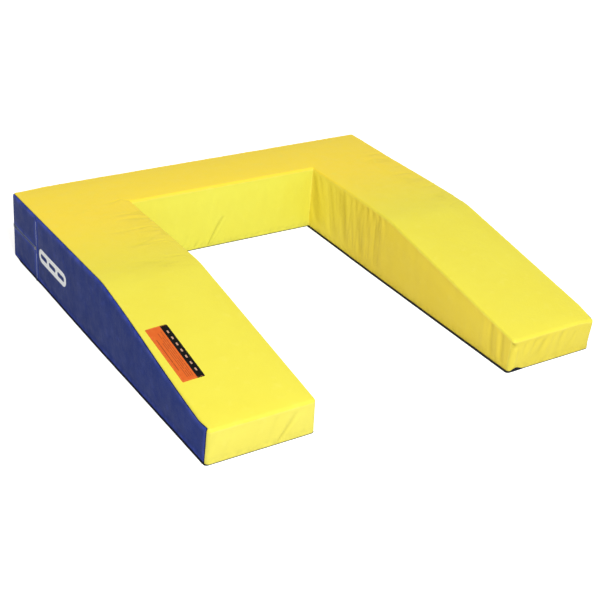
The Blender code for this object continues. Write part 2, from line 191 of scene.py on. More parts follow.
def build_skin(x_lines, y_lines, wall_lines):
    """The whole cover as one quad mesh: rest points, unrolled coordinates (u, v, down), quads and panels."""
    nx, ny = len(x_lines), len(y_lines)
    bay_l, bay_r = line_index(x_lines, -BAY), line_index(x_lines, BAY)
    back = line_index(y_lines, BAY_BACK)
    index = -np.ones((nx, ny), int)
    points, places, quads, panels = [], [], [], []
    for i in range(nx):
        for j in range(ny):
            if bay_l < i < bay_r and j < back:
                continue
            index[i, j] = len(places)
            places.append((x_lines[i], y_lines[j], 0.0))
    plan = np.array(places)
    x, y = round_corner(plan[:, 0], plan[:, 1])
    d = np.minimum(edge_distance(x, y), ROLL)
    z = top_z(y) - (ROLL - np.sqrt(np.maximum(ROLL**2 - (ROLL - d) ** 2, 0)))
    points = list(np.stack([x, y, z], 1))
    seam_l, seam_r = line_index(x_lines, -SIDE + SEAM_INSET), line_index(x_lines, SIDE - SEAM_INSET)
    seam_b, seam_v = line_index(y_lines, REAR - SEAM_INSET), line_index(y_lines, SEAM_Y)
    for i in range(nx - 1):
        for j in range(ny - 1):
            corners = (index[i, j], index[i + 1, j], index[i + 1, j + 1], index[i, j + 1])
            if min(corners) < 0 or (bay_l <= i < bay_r and j < back):
                continue
            panel = "top_cover"
            if j >= seam_b or ((i < seam_l or i >= seam_r) and j >= seam_v):
                panel = "rear_band_upper"
            elif i < seam_l and y_lines[j] > WRAP_Y - MM / 4:
                panel = "left_side_cover"
            elif i >= seam_r and y_lines[j] > WRAP_Y - MM / 4:
                panel = "right_side_cover"
            quads.append(corners)
            panels.append(panel)
    walls = (
        [("left_side_cover", 0, j) for j in range(0, seam_v)]
        + [("rear", 0, j) for j in range(seam_v, ny - 1)]
        + [("rear", i, ny - 1) for i in range(0, nx - 1)]
        + [("rear", nx - 1, j) for j in range(ny - 1, seam_v, -1)]
        + [("right_side_cover", nx - 1, j) for j in range(seam_v, 0, -1)]
        + [("right_end_cover", i, 0) for i in range(nx - 1, bay_r, -1)]
        + [("bay_right_cover", bay_r, j) for j in range(0, back)]
        + [("bay_back_cover", i, back) for i in range(bay_r, bay_l, -1)]
        + [("bay_left_cover", bay_l, j) for j in range(back, 0, -1)]
        + [("left_end_cover", i, 0) for i in range(bay_l, 0, -1)]
    )
    shares = (wall_lines - LIP) / (WALL_TOP - LIP)
    rows = len(shares)
    columns = []
    for _, i, j in walls:
        top = index[i, j]
        px, py, edge_z = points[top]
        column = []
        for share in shares[:-1]:
            height = LIP + share * (edge_z - LIP)
            if i == 0 and j >= seam_v:
                from_zip = height - ZIP_Z
                share_gathered = 1 - smooth(abs(from_zip), 14 * MM, 45 * MM)
                height -= np.sign(from_zip) * mouth_gather(y_lines[j]) * share_gathered
            column.append(len(points))
            points.append(np.array([px, py, height]))
            places.append((x_lines[i], y_lines[j], edge_z - height))
        columns.append(column + [top])
    mouth = [k for k in range(rows) if abs(wall_lines[k] - ZIP_Z) < MOUTH - 0.1 * MM]
    middle = mouth[0]
    for c, (panel, i, j) in enumerate(walls):
        this, after = columns[c], columns[(c + 1) % len(walls)]
        for k in range(rows - 1):
            name = panel
            if panel == "rear":
                name = "rear_band_upper" if k >= middle else "rear_band_lower"
                open_here = not (i == nx - 1 or (j == ny - 1 and x_lines[i] > MOUTH_END - MM))
                if open_here and middle - 1 <= k <= middle:
                    continue
            elif panel in ("bay_right_cover", "right_side_cover") and corner_column(panel, y_lines[j]):
                name = "right_end_cover"
            elif panel in ("bay_left_cover", "left_side_cover") and corner_column(panel, y_lines[j]):
                name = "left_end_cover"
            quads.append((this[k], this[k + 1], after[k + 1], after[k]))
            panels.append(name)
    panel_ids = np.array([PANELS.index(name) for name in panels], np.int32)
    return np.array(points), np.array(places), np.array(quads), panel_ids, [col[0] for col in columns]


PANELS = (
    "top_cover",
    "left_side_cover",
    "right_side_cover",
    "rear_band_upper",
    "rear_band_lower",
    "bay_back_cover",
    "bay_left_cover",
    "bay_right_cover",
    "left_end_cover",
    "right_end_cover",
)


FINE_LINES = grid_lines(SEWN, FOLDED, LAPPED, BASE_SEAM, 10 * MM, 6 * MM, 11 * MM)
COARSE_LINES = grid_lines(
    SEWN[[0, 6, 12]], FOLDED[[0, 4]], LAPPED[[0, 5]], BASE_SEAM[[0, 4]], 13 * MM, 7 * MM, 11 * MM
)


def outer_distance(x, y):
    """Plan distance to the mat's outer sides and rear, rounded at the rear corners."""
    ax = np.abs(x)
    a, b = ax - (SIDE - CORNER), y - (REAR - CORNER)
    return np.where((a > 0) & (b > 0), CORNER - np.hypot(a, b), np.minimum(SIDE - ax, REAR - y))


def seam_slide(x, y):
    """How far the sewn edge line is drawn down round the rolled edge: most at the left arm's open end."""
    usual = 5.4 * MM
    left = 1.6 * MM + 9.4 * MM * smooth(-y, 0.60, 1.02)
    slide = left + (usual - left) * smooth(x, -SIDE + 30 * MM, -SIDE + 120 * MM)
    return slide * (0.3 * smooth(y, WRAP_Y - 5 * MM, WRAP_Y) + 0.7 * smooth(y, WRAP_Y, WRAP_Y + 40 * MM))


def roll_profile(arc):
    """Gap from the outer face, and drop below the top, at an arc length measured up from the roll's foot."""
    turn = ROLL * math.pi / 2
    angle = np.clip(arc / ROLL, 0, math.pi / 2)
    gap = np.where(arc > turn, arc - turn + ROLL, ROLL * (1 - np.cos(angle)))
    return gap, ROLL * (1 - np.sin(angle)) - np.minimum(arc, 0)


def slid(points, places):
    """Slide the grid round the rolled outer edge, so that its seam line runs lower than it was laid out."""
    x, y, _ = points.T
    down = places[:, 2]
    on_wall = down > 0.05 * MM
    gap = np.maximum(outer_distance(x, y), 0)
    bend = ROLL * np.arccos(np.clip(1 - gap / ROLL, 0, 1))
    arc = np.where(gap < ROLL, bend, ROLL * (math.pi / 2 - 1) + gap)
    arc = np.where(on_wall, -down, arc)
    seam_arc = ROLL * math.acos(1 - SEAM_INSET / ROLL)
    window = 1 - smooth(np.abs(arc - seam_arc), 3 * MM, 42 * MM)
    slide = seam_slide(x, y) * window * (~on_wall | (gap < MM))
    old_gap, old_drop = roll_profile(arc)
    new_gap, new_drop = roll_profile(arc - slide)
    nudge = 0.1 * MM
    carry = np.where(on_wall, 0, old_gap - new_gap) / nudge
    moved = points.copy()
    moved[:, 0] += (gap - outer_distance(x + nudge, y)) * carry
    moved[:, 1] += (gap - outer_distance(x, y + nudge)) * carry
    moved[:, 2] += old_drop - new_drop
    return moved


# ---------------------------------------------------------------- wrinkles, puckers and seams


def ripple(points, wavelength, waves=14):
    """Soft irregular noise about 0: a sum of sine waves of mixed bearing near one wavelength."""
    total = np.zeros(len(points))
    for _ in range(waves):
        bearing = rng.normal(size=3)
        bearing /= np.linalg.norm(bearing)
        pace = 2 * math.pi / (wavelength * rng.uniform(0.7, 1.5))
        total += np.sin(points @ bearing * pace + rng.uniform(0, 2 * math.pi))
    return total / math.sqrt(waves)


def crease(a, b, start, end, depth, width, sway=0.0, shoulder=0.45, fade=1.6):
    """Height field of one crease on a panel with flat coordinates a, b.

    It is a valley from start to end, sharp where it leaves the seam and widening as it fades out,
    with a raised shoulder on each side. sway bows it sideways."""
    start, end = np.array(start), np.array(end)
    along = end - start
    length = np.linalg.norm(along)
    along /= length
    da, db = a - start[0], b - start[1]
    p = (da * along[0] + db * along[1]) / length
    q = db * along[0] - da * along[1] - sway * np.sin(np.clip(p, 0, 1) * math.pi)
    here = (p > -0.15) & (p < 1.05) & (np.abs(q) < 8 * width)
    height = np.zeros(len(a))
    p, q = p[here], q[here]
    spread = width * (0.7 + 0.9 * np.clip(p, 0, 1))
    strength = smooth(p, -0.08, 0.1) * np.clip(1 - p, 0, 1) ** (1 / fade)
    valley = -np.exp(-((q / spread) ** 2))
    sides = np.exp(-(((np.abs(q) - 2.1 * spread) / (1.3 * spread)) ** 2))
    height[here] = depth * strength * (valley + shoulder * sides)
    return height


def flute(a, b, start, end, depth, width):
    """Height field of one soft standing fold between two seams, tapering at both ends."""
    start, end = np.array(start), np.array(end)
    along = end - start
    length = np.linalg.norm(along)
    along /= length
    da, db = a - start[0], b - start[1]
    p = (da * along[0] + db * along[1]) / length
    q = db * along[0] - da * along[1]
    spread = width * (0.75 + 0.5 * np.clip(p, 0, 1))
    strength = smooth(p, -0.02, 0.16) * (1 - smooth(p, 0.8, 1.02))
    return depth * strength * np.exp(-((q / spread) ** 2))


def wrinkled(along, across, pitch, stretch):
    """Irregular creases that run along one direction about pitch apart, and come and go."""
    spots = np.stack([along / stretch, across, 0 * along], 1)
    field = ripple(spots, pitch)
    present = smooth(ripple(spots, 2.5 * pitch), -0.2, 0.9)
    return present * (0.3 * field - np.exp(-((field / 0.42) ** 2)))


def hooked_fold(u, v, y, reach, depth):
    """A crease that starts in a short hook at the left arm's inner edge and runs out across its top."""
    hook = rng.uniform(14, 28) * MM
    knee = (-BAY - hook, y + 0.9 * hook)
    tip = (knee[0] - reach, knee[1] + rng.uniform(-16, 8) * MM)
    height = crease(u, v, knee, (-BAY - 5 * MM, y), 0.6 * depth, 4 * MM, fade=3)
    return height + crease(u, v, knee, tip, depth, 5 * MM, rng.uniform(-6, 6) * MM, fade=1.0)


def arm_tops(u, v):
    """Cross-wrinkles on the arms' tops, behind the bend: fine at the left inner edge, soft at the right outer."""
    from_bay = np.abs(u) - BAY
    behind = smooth(v, -0.68, -0.50) * (1 - smooth(v, -0.13, -0.06))
    left = (u < 0) * smooth(from_bay, 0.25, 0.08) * behind
    right = (u > 0) * smooth(from_bay, 0.14, 0.27) * behind
    height = 1.1 * MM * left * wrinkled(u, v, 36 * MM, 4.0)
    height += 0.7 * MM * right * wrinkled(u, v, 46 * MM, 2.5)
    for y, reach, depth in (
        (-0.100, 0.07, 1.1),
        (-0.205, 0.13, 0.8),
        (-0.300, 0.15, 0.9),
        (-0.352, 0.05, 0.5),
        (-0.395, 0.11, 0.9),
        (-0.490, 0.08, 0.8),
        (-0.545, 0.05, 0.4),
    ):
        height += hooked_fold(u, v, y, reach, depth * MM)
    for y, reach, depth in ((-0.09, 0.08, 0.8), (-0.20, 0.05, 0.6), (-0.262, 0.09, 0.9), (-0.37, 0.06, 0.7), (-0.44, 0.08, 0.5)):
        tip = (SIDE - reach, y + rng.uniform(-10, 4) * MM)
        height += crease(u, v, (SIDE - 9 * MM, y), tip, depth * MM, 6 * MM, rng.uniform(-4, 4) * MM)
    return height


def bay_side_wall(v, z):
    """Fullness gathered behind the bend: soft standing folds that lean near the crossbar, tucked in at the top."""
    below = top_z(v) - z
    leaned = v + (0.05 + 0.37 * smooth(v, -0.50, -0.12)) * below
    spots = np.stack([leaned, 0.15 * z, 0 * z], 1)
    gathered = smooth(v, -0.57, -0.44) * (1 - smooth(v, -0.12, -0.085))
    open_end = 1 - smooth(v, -1.05, -0.93)
    middle = smooth(z, LIP + 3 * MM, LIP + 55 * MM) * smooth(below, 5 * MM, 26 * MM)
    soft = ripple(spots, 48 * MM)
    pleats = np.exp(-((ripple(spots, 40 * MM) / 0.5) ** 2)) * gathered * (1 - 0.7 * smooth(v, -0.32, -0.18))
    height = (0.25 + gathered + 0.5 * open_end) * middle * (0.9 * soft - 0.8 * pleats) * MM
    for y, length, depth in (
        (-0.140, 0.140, 0.8),
        (-0.225, 0.150, 0.7),
        (-0.275, 0.165, 1.3),
        (-0.342, 0.140, 2.0),
        (-0.405, 0.110, 2.5),
        (-0.432, 0.045, 1.4),
        (-0.466, 0.090, 2.6),
        (-0.492, 0.035, 1.2),
    ):
        lean = (0.05 + 0.37 * float(smooth(y, -0.50, -0.12))) * length
        start = (y, top_z(y) - 9 * MM)
        height += crease(v, z, start, (y - lean, start[1] - length), depth * MM, 9.5 * MM, fade=1.3)
    for y, lean, depth in ((-0.975, 0.012, 0.8), (-1.004, 0.018, -1.7), (-1.030, 0.020, 1.3), (-1.052, 0.012, -1.9)):
        height += flute(v, z, (y, top_z(y) - 5 * MM), (y - lean, LIP + 5 * MM), depth * MM, 7 * MM)
    return height


def bay_back_wall(u, z):
    """One sharp slanted crease rising from the base seam, a fainter one beside it, and soft fullness."""
    height = crease(u, z, (-0.055, LIP + 1 * MM), (-0.004, 0.10), 4.8 * MM, 3.2 * MM, 3 * MM, fade=2.5)
    height += crease(u, z, (-0.104, LIP + 2 * MM), (-0.082, 0.045), 1.6 * MM, 4.5 * MM, fade=1.5)
    height += crease(u, z, (-0.150, LIP + 3 * MM), (-0.120, 0.07), 0.8 * MM, 5 * MM)
    for x in (-0.24, -0.17, -0.075, -0.03, 0.05, 0.14, 0.22):
        depth = rng.uniform(0.5, 1.3) * MM
        height += flute(u, z, (x, 0.18), (x - 0.02, 0.03), depth, rng.uniform(10, 18) * MM)
    return height


def end_wall(u, z, right):
    """Slanted creases across an arm's front face; the right one is fuller and pinched at its inner top corner."""
    top = top_z(FRONT)
    slanted = u - 0.3 * z
    soft = ripple(np.stack([slanted, 0.2 * z, 0 * z], 1), 30 * MM)
    middle = smooth(z, LIP, LIP + 20 * MM) * smooth(top - z, 6 * MM, 20 * MM)
    if not right:
        height = 0.2 * MM * soft * middle
        height += crease(u, z, (-0.424, LIP + 4 * MM), (-0.374, 0.082), 2.4 * MM, 4.5 * MM, fade=2.5)
        return height + crease(u, z, (-0.36, LIP + 4 * MM), (-0.335, 0.06), 0.6 * MM, 5 * MM)
    height = 0.55 * MM * soft * middle
    for x, lean, depth, width in (
        (0.365, 0.012, 1.4, 7),
        (0.402, 0.034, 1.3, 6),
        (0.433, 0.030, 1.8, 8),
        (0.470, 0.022, 0.8, 6),
        (0.497, 0.030, 1.6, 9),
        (0.545, 0.026, 1.2, 7),
        (0.578, 0.016, 0.7, 6),
    ):
        high = top - rng.uniform(10, 26) * MM
        height += crease(u, z, (x, high), (x - lean, rng.uniform(8, 26) * MM), depth * MM, width * MM, fade=1.4)
    pinch = ((u - BAY - 2 * MM) / (10 * MM)) ** 2 + ((z - top + 18 * MM) / (7 * MM)) ** 2
    height -= 4.2 * MM * np.exp(-pinch)
    return height + flute(u, z, (BAY + 15 * MM, top - 24 * MM), (BAY + 13 * MM, LIP), 2.6 * MM, 6 * MM)


def folds(points, places, panel):
    """Height of all the drawn folds at each point of one panel."""
    u, v, down = places.T
    z = points[:, 2]
    wall = down > 0.05 * MM
    if panel == "top_cover":
        return arm_tops(u, v)
    if panel in ("bay_right_cover", "bay_left_cover"):
        return bay_side_wall(v, z)
    if panel == "bay_back_cover":
        return bay_back_wall(u, z)
    if panel in ("left_end_cover", "right_end_cover"):
        return end_wall(u, z, panel == "right_end_cover")
    faint = 0.25 * MM * ripple(np.stack([u, v * 0.5, z * 0.4], 1), 0.09)
    return np.where(wall, faint, 0)


def seam_relief(points, places):
    """Grooves and ridges that follow the sewn seams, the same on both sides of each seam."""
    u, v, down = places.T
    wall = down > 0.05 * MM
    side_q = np.abs(np.abs(u) - (SIDE - SEAM_INSET)) + np.where(wall, down, 0) + np.maximum(WRAP_Y - v, 0)
    rear_q = np.abs(v - (REAR - SEAM_INSET)) + np.where(wall, down, 0)
    wrap_q = np.abs(v - WRAP_Y) + np.maximum(SIDE - SEAM_INSET - np.abs(u), 0)
    sewn = np.minimum(np.minimum(side_q, rear_q), wrap_q)
    pucker = 0.5 + 0.5 * ripple(points, 16 * MM)
    relief = -1.5 * MM * np.exp(-((sewn / (1.0 * MM)) ** 2))
    relief += 0.5 * MM * pucker * np.exp(-(((sewn - 4 * MM) / (3 * MM)) ** 2))
    outer = wall & (np.abs(u) > SIDE - MM)
    lap = v - SEAM_Y
    ridge = 1.3 * MM * smooth(-lap, 0, 0.6 * MM) * (1 - smooth(-lap, 5 * MM, 14 * MM))
    relief += np.where(outer, ridge - 0.5 * MM * np.exp(-((lap / (0.8 * MM)) ** 2)), 0)
    foot = points[:, 2] - LIP
    relief += np.where(wall, -0.9 * MM * np.exp(-((foot / (1.6 * MM)) ** 2)), 0)
    return relief


# ---------------------------------------------------------------- simulation and subdivision


def mesh_object(name, points, faces):
    mesh = bpy.data.meshes.new(name)
    mesh.from_pydata([tuple(p) for p in points], [], [tuple(int(i) for i in f) for f in faces])
    mesh.update()
    obj = bpy.data.objects.new(name, mesh)
    bpy.context.scene.collection.objects.link(obj)
    return obj


def read_points(mesh):
    flat = np.empty(len(mesh.vertices) * 3, np.float32)
    mesh.vertices.foreach_get("co", flat)
    return flat.reshape(-1, 3).astype(float)


def border_edges(quads, panel_ids):
    """Edges where two panels meet or the cover ends, as vertex pairs."""
    pairs = np.sort(np.concatenate([quads[:, [k, (k + 1) % 4]] for k in range(4)]), axis=1)
    owner = np.tile(panel_ids, 4)
    order = np.lexsort((pairs[:, 1], pairs[:, 0]))
    pairs, owner = pairs[order], owner[order]
    same_next = np.all(pairs[:-1] == pairs[1:], axis=1)
    first = np.concatenate([[True], ~same_next])
    paired = np.concatenate([same_next, [False]])
    next_owner = np.concatenate([owner[1:], [-1]])
    return pairs[first & (~paired | (owner != next_owner))]


def border_distance(points, edges, steps=6):
    """Distance from each point to the nearest panel border."""
    tree = KDTree(len(edges) * steps)
    for k in range(steps):
        share = (k + 0.5) / steps
        for n, p in enumerate(points[edges[:, 0]] * (1 - share) + points[edges[:, 1]] * share):
            tree.insert(p, k * len(edges) + n)
    tree.balance()
    return np.array([tree.find(p)[2] for p in points])


def loosened(points):
    """Cloth lengths before sewing: extra length along the arms behind the bend and at the open ends."""
    ys = np.linspace(FRONT, REAR, 600)
    slack = 0.022 * smooth(ys, -0.68, -0.52) * (1 - smooth(ys, -0.14, -0.06))
    slack += 0.02 * (1 - smooth(ys, FRONT + 0.09, FRONT + 0.15))
    slack += 0.004
    grown = np.concatenate([[0], np.cumsum(slack[1:] * np.diff(ys))])
    loose = points.copy()
    loose[:, 1] += np.interp(points[:, 1], ys, grown)
    loose[:, 0] *= 1.004
    return loose


def inflated(points, quads, distance):
    """The cover after a cloth simulation: sewn lines held, foam pressing out, loose cloth buckling."""
    obj = mesh_object("cover_cloth", points, quads)
    held = obj.vertex_groups.new(name="held")
    weight = 1 - smooth(distance, 9 * MM, 24 * MM)
    levels = np.round(weight * 12).astype(int)
    for value in range(1, 13):
        held.add(np.flatnonzero(levels == value).tolist(), value / 12, "REPLACE")
    obj.shape_key_add(name="sewn", from_mix=False)
    loose = obj.shape_key_add(name="loose", from_mix=False)
    loose.data.foreach_set("co", loosened(points).astype(np.float32).ravel())
    cloth = obj.modifiers.new("Cloth", "CLOTH")
    cloth.settings.quality = 4
    cloth.settings.mass = 0.2
    cloth.settings.tension_stiffness = 20
    cloth.settings.compression_stiffness = 20
    cloth.settings.shear_stiffness = 5
    cloth.settings.bending_stiffness = 0.4
    cloth.settings.use_pressure = True
    cloth.settings.uniform_pressure_force = 4
    cloth.settings.vertex_group_mass = "held"
    cloth.settings.rest_shape_key = loose
    cloth.settings.effector_weights.gravity = 0
    cloth.collision_settings.use_collision = False
    for number in range(1, 21):
        bpy.context.scene.frame_set(number)
    evaluated = obj.evaluated_get(bpy.context.evaluated_depsgraph_get())
    result = read_points(evaluated.data)
    bpy.data.objects.remove(obj, do_unlink=True)
    bpy.context.scene.frame_set(1)
    return result


def limited(move, most):
    """Shorten long moves smoothly, so that none is longer than most."""
    size = np.linalg.norm(move, axis=1, keepdims=True) + 1e-9
    return move * most * np.tanh(size / most) / size


def cloth_moves(points):
    """How far the simulated cloth carries each point, read off a coarser simulated cover."""
    coarse, _, quads, panel_ids, _ = build_skin(*COARSE_LINES)
    distance = border_distance(coarse, border_edges(quads, panel_ids))
    moves = limited(inflated(coarse, quads, distance) - coarse, CLOTH_LIMIT)
    corners = [[Vector(coarse[i]) for i in quad] for quad in quads]
    tree = BVHTree.FromPolygons([Vector(p) for p in coarse], quads.tolist())
    carried = np.empty_like(points)
    for n, point in enumerate(points):
        spot, _, face, _ = tree.find_nearest(point)
        carried[n] = np.array(poly_3d_calc(corners[face], spot)) @ moves[quads[face]]
    return carried


def subdivided(points, places, quads, panel_ids):
    """One Catmull-Clark subdivision; returns the finer points, places, quads, panels and normals."""
    obj = mesh_object("cover_cage", points, quads)
    obj.data.attributes.new("place", "FLOAT_VECTOR", "POINT").data.foreach_set("vector", places.ravel())
    obj.data.attributes.new("panel", "INT", "FACE").data.foreach_set("value", panel_ids)
    finer = obj.modifiers.new("Finer", "SUBSURF")
    finer.levels = finer.render_levels = 1
    mesh = bpy.data.meshes.new_from_object(obj.evaluated_get(bpy.context.evaluated_depsgraph_get()))
    bpy.data.objects.remove(obj, do_unlink=True)
    flat = np.empty(len(mesh.vertices) * 3, np.float32)
    mesh.attributes["place"].data.foreach_get("vector", flat)
    ids = np.empty(len(mesh.polygons), np.int32)
    mesh.attributes["panel"].data.foreach_get("value", ids)
    corners = np.empty(len(mesh.polygons) * 4, np.int32)
    mesh.polygons.foreach_get("vertices", corners)
    normals = np.empty(len(mesh.vertices) * 3, np.float32)
    mesh.vertex_normals.foreach_get("vector", normals)
    fine = read_points(mesh)
    bpy.data.meshes.remove(mesh)
    return fine, flat.reshape(-1, 3).astype(float), corners.reshape(-1, 4), ids, normals.reshape(-1, 3).astype(float)


def evened(values, quads, near, rounds=3):
    """Average values over neighbours, only where near is true, so that panels agree along seams."""
    pairs = np.concatenate([quads[:, [k, (k + 1) % 4]] for k in range(4)])
    count = np.bincount(pairs.ravel(), minlength=len(values))
    for _ in range(rounds):
        total = np.bincount(pairs[:, 0], values[pairs[:, 1]], len(values))
        total += np.bincount(pairs[:, 1], values[pairs[:, 0]], len(values))
        values = np.where(near, 0.4 * values + 0.6 * total / count, values)
    return values


def settled(points, places):
    """The stuffed cover stands a little off its pattern: arms spread sideways, the rear top is crowned."""
    u, v, down = places.T
    sides = [-SIDE, -BAY, BAY, SIDE]
    forward = smooth(-v, -SEAM_Y + 0.02, 0.5)
    full = np.interp(v, [FRONT, BAY_BACK], [1, 0])
    top_shift = np.interp(u, sides, [0, 0, 0, 1]) * 7 * MM * forward
    top_shift += np.interp(u, sides, [0, 1, 0, 0]) * 9 * MM * full
    foot_shift = np.interp(u, sides, [-1, 1, -1, -1]) * 3 * MM * forward
    share = np.clip(down / (top_z(v) - ROLL - LIP), 0, 1)
    moved = points.copy()
    moved[:, 0] += top_shift + foot_shift * share
    crown = smooth(u, -SIDE, -SIDE + 0.15) * smooth(v, -0.55, -0.3) * 3.5 * MM
    moved[:, 2] += crown * (1 - share)
    sag = 6 * MM * smooth(u, SIDE - 60 * MM, SIDE) * (1 - smooth(v, FRONT, FRONT + 70 * MM))
    moved[:, 2] -= sag * (1 - share)
    lifted = 10 * MM * np.exp(-(((u - BAY - 24 * MM) / (18 * MM)) ** 2)) * (1 - smooth(v, FRONT, WRAP_Y))
    moved[:, 2] += np.where(down > 0, lifted * (1 - smooth(points[:, 2] - LIP, 0, 40 * MM)), 0)
    return moved


def finished_cover():
    """Simulated, subdivided and creased cover: points, quads, panels, seam distance, painted shade for the fold
    valleys, foot.
    """
    points, places, quads, panel_ids, foot = build_skin(*FINE_LINES)
    shaped = settled(slid(points, places), places)
    shaped += cloth_moves(slid(points, places))
    fine, places, quads, panel_ids, normals = subdivided(shaped, places, quads, panel_ids)
    distance = border_distance(fine, border_edges(quads, panel_ids))
    height = np.zeros(len(fine))
    for number, panel in enumerate(PANELS):
        mine = np.unique(quads[panel_ids == number])
        height[mine] = folds(fine[mine], places[mine], panel)
    height *= 0.25 + 0.75 * smooth(distance, 0, 4 * MM)
    height = evened(height, quads, distance < 5 * MM)
    # Painted shade: the depth of each fold valley, kept as the fold attribute, darkens the vinyl's colour there.
    valley = np.clip(-height / (2.2 * MM), 0, 1)
    height += 0.12 * MM * ripple(fine, 60 * MM) + 0.05 * MM * ripple(fine, 18 * MM)
    height += seam_relief(fine, places)
    zip_zone = (places[:, 2] > MM) & (np.abs(fine[:, 2] - ZIP_Z) < 14 * MM) & (fine[:, 1] > SEAM_Y - 4 * MM)
    height = np.where(zip_zone, np.clip(height, -0.4 * MM, 0.6 * MM), height)
    fine = fine + normals * height[:, None]
    return fine, quads, panel_ids, {"seam": distance, "fold": valley}, foot


# ---------------------------------------------------------------- materials


def add_node(tree, kind, inputs=None, **settings):
    """One shader node; an input is given a value or another node's output."""
    node = tree.nodes.new("ShaderNode" + kind)
    for key, value in settings.items():
        setattr(node, key, value)
    for key, value in (inputs or {}).items():
        if isinstance(value, bpy.types.NodeSocket):
            tree.links.new(value, node.inputs[key])
        else:
            node.inputs[key].default_value = value
    return node


def math_node(tree, operation, *values):
    return add_node(tree, "Math", dict(enumerate(values)), operation=operation).outputs[0]


def blend_colours(tree, factor, first, second):
    """Mix two colours, each an RGB tuple or a socket."""
    node = tree.nodes.new("ShaderNodeMix")
    node.data_type = "RGBA"
    for name, value in (("Factor_Float", factor), ("A_Color", first), ("B_Color", second)):
        socket = next(s for s in node.inputs if s.identifier == name)
        if isinstance(value, bpy.types.NodeSocket):
            tree.links.new(value, socket)
        else:
            socket.default_value = (*value, 1) if isinstance(value, tuple) else value
    return next(s for s in node.outputs if s.identifier == "Result_Color")


def ramp(tree, value, low, high, to_low=0.0, to_high=1.0):
    inputs = {"Value": value, "From Min": low, "From Max": high, "To Min": to_low, "To Max": to_high}
    node = add_node(tree, "MapRange", inputs, interpolation_type="SMOOTHSTEP")
    return node.outputs["Result"]


def noise(tree, where, scale, detail=3.0, roughness=0.55):
    inputs = {"Vector": where, "Scale": scale, "Detail": detail, "Roughness": roughness}
    return add_node(tree, "TexNoise", inputs).outputs["Fac"]


def new_material(name):
    """A node material; returns it with its tree, its Principled node and object coordinates."""
    material = bpy.data.materials.new(name)
    material.use_nodes = True
    tree = material.node_tree
    surface = tree.nodes["Principled BSDF"]
    where = add_node(tree, "TexCoord").outputs["Object"]
    return material, tree, surface, where


def bumped(tree, surface, *layers):
    """Stack bump layers, each (height socket, depth in metres), into the surface's normal."""
    normal = None
    for height, depth in layers:
        inputs = {"Height": height, "Distance": depth, "Strength": 1.0}
        if normal is not None:
            inputs["Normal"] = normal
        normal = add_node(tree, "Bump", inputs).outputs["Normal"]
    tree.links.new(normal, surface.inputs["Normal"])


def cross_weave(tree, where, pitch):
    """The scrim's threads showing through: crossed sine ridges on every face of the mat."""
    parts = add_node(tree, "SeparateXYZ", {"Vector": where}).outputs
    total = None
    for axis in parts:
        wave = math_node(tree, "SINE", math_node(tree, "MULTIPLY", axis, 2 * math.pi / pitch))
        total = wave if total is None else math_node(tree, "ADD", total, wave)
    return total


def vinyl(
    name,
    colour,
    pale,
    deep,
    wear_and_highlight_share=0.55,
    wear_and_highlight_reach=5 * MM,
    shine=0.25,
    groove_shade=0.0,
    painted_light_tint=None,
    inward=(-0.46, -0.16),
):
    """PVC-coated cloth: leathery grain, threads showing through, mottling, seams worn paler and given a painted
    highlight of their rolled edges, a dusty foot, and painted shade in the fold valleys.

    The groove setting is how dark the painted shadow in the seams' grooves is. Toward the closed rear, between the two
    Y values of inward, the colour turns to the painted light tint: painted light and shade for how the light falls
    there."""
    material, tree, surface, where = new_material(name)
    broad = noise(tree, where, 7.0)
    patchy = noise(tree, where, 38.0, 4.0)
    seam = add_node(tree, "Attribute", attribute_name="seam").outputs["Fac"]
    # Partly wear, partly a painted highlight: the cloth turns paler within reach of a seam, where the rolled edge
    # catches the light.
    wear_and_highlight = ramp(tree, seam, wear_and_highlight_reach, 0.12 * wear_and_highlight_reach)
    wear_and_highlight = math_node(tree, "MULTIPLY", wear_and_highlight, ramp(tree, patchy, 0.3, 0.7, 0.25, 1))
    parts = add_node(tree, "SeparateXYZ", {"Vector": where}).outputs
    dust = ramp(tree, parts["Z"], 30 * MM, 7 * MM, 0, 0.35)
    dust = math_node(tree, "MULTIPLY", dust, ramp(tree, noise(tree, where, 60.0, 5.0), 0.35, 0.7))
    base = blend_colours(tree, ramp(tree, broad, 0.3, 0.7, 0, 0.5), colour, deep)
    # Painted light: toward the closed rear the colour turns to a tint that stands for how the light falls there.
    if painted_light_tint:
        base = blend_colours(tree, ramp(tree, parts["Y"], *inward, 0, 0.85), base, painted_light_tint)
    base = blend_colours(tree, ramp(tree, patchy, 0.55, 0.8, 0, 0.3), base, pale)
    base = blend_colours(tree, math_node(tree, "MULTIPLY", wear_and_highlight, wear_and_highlight_share), base, pale)
    base = blend_colours(tree, dust, base, tuple(0.55 * c + 0.03 for c in colour))
    # Painted shade: the cloth's colour is darkened in the fold valleys, where shade falls.
    fold = add_node(tree, "Attribute", attribute_name="fold").outputs["Fac"]
    base = blend_colours(tree, math_node(tree, "MULTIPLY", fold, 0.55), base, tuple(0.72 * c for c in deep))
    # Painted shadow: the cloth darkens right along the seam line, as in the seam's groove.
    if groove_shade:
        painted_groove_shadow = ramp(tree, seam, 2.8 * MM, 1.2 * MM, 0, groove_shade)
        base = blend_colours(tree, painted_groove_shadow, base, tuple(0.2 * c for c in deep))
    tree.links.new(base, surface.inputs["Base Color"])
    smear = noise(tree, where, 24.0, 5.0, 0.65)
    gloss = math_node(tree, "ADD", ramp(tree, smear, 0.25, 0.75, 0.39, 0.55), dust)
    tree.links.new(gloss, surface.inputs["Roughness"])
    surface.inputs["Specular IOR Level"].default_value = shine
    grain = add_node(tree, "TexVoronoi", {"Vector": where, "Scale": 950.0}, feature="F1").outputs["Distance"]
    pores = noise(tree, where, 420.0, 4.0)
    bumped(
        tree,
        surface,
        (patchy, 0.9 * MM),
        (cross_weave(tree, where, 1.3 * MM), 0.016 * MM),
        (grain, 0.07 * MM),
        (pores, 0.05 * MM),
    )
    return material


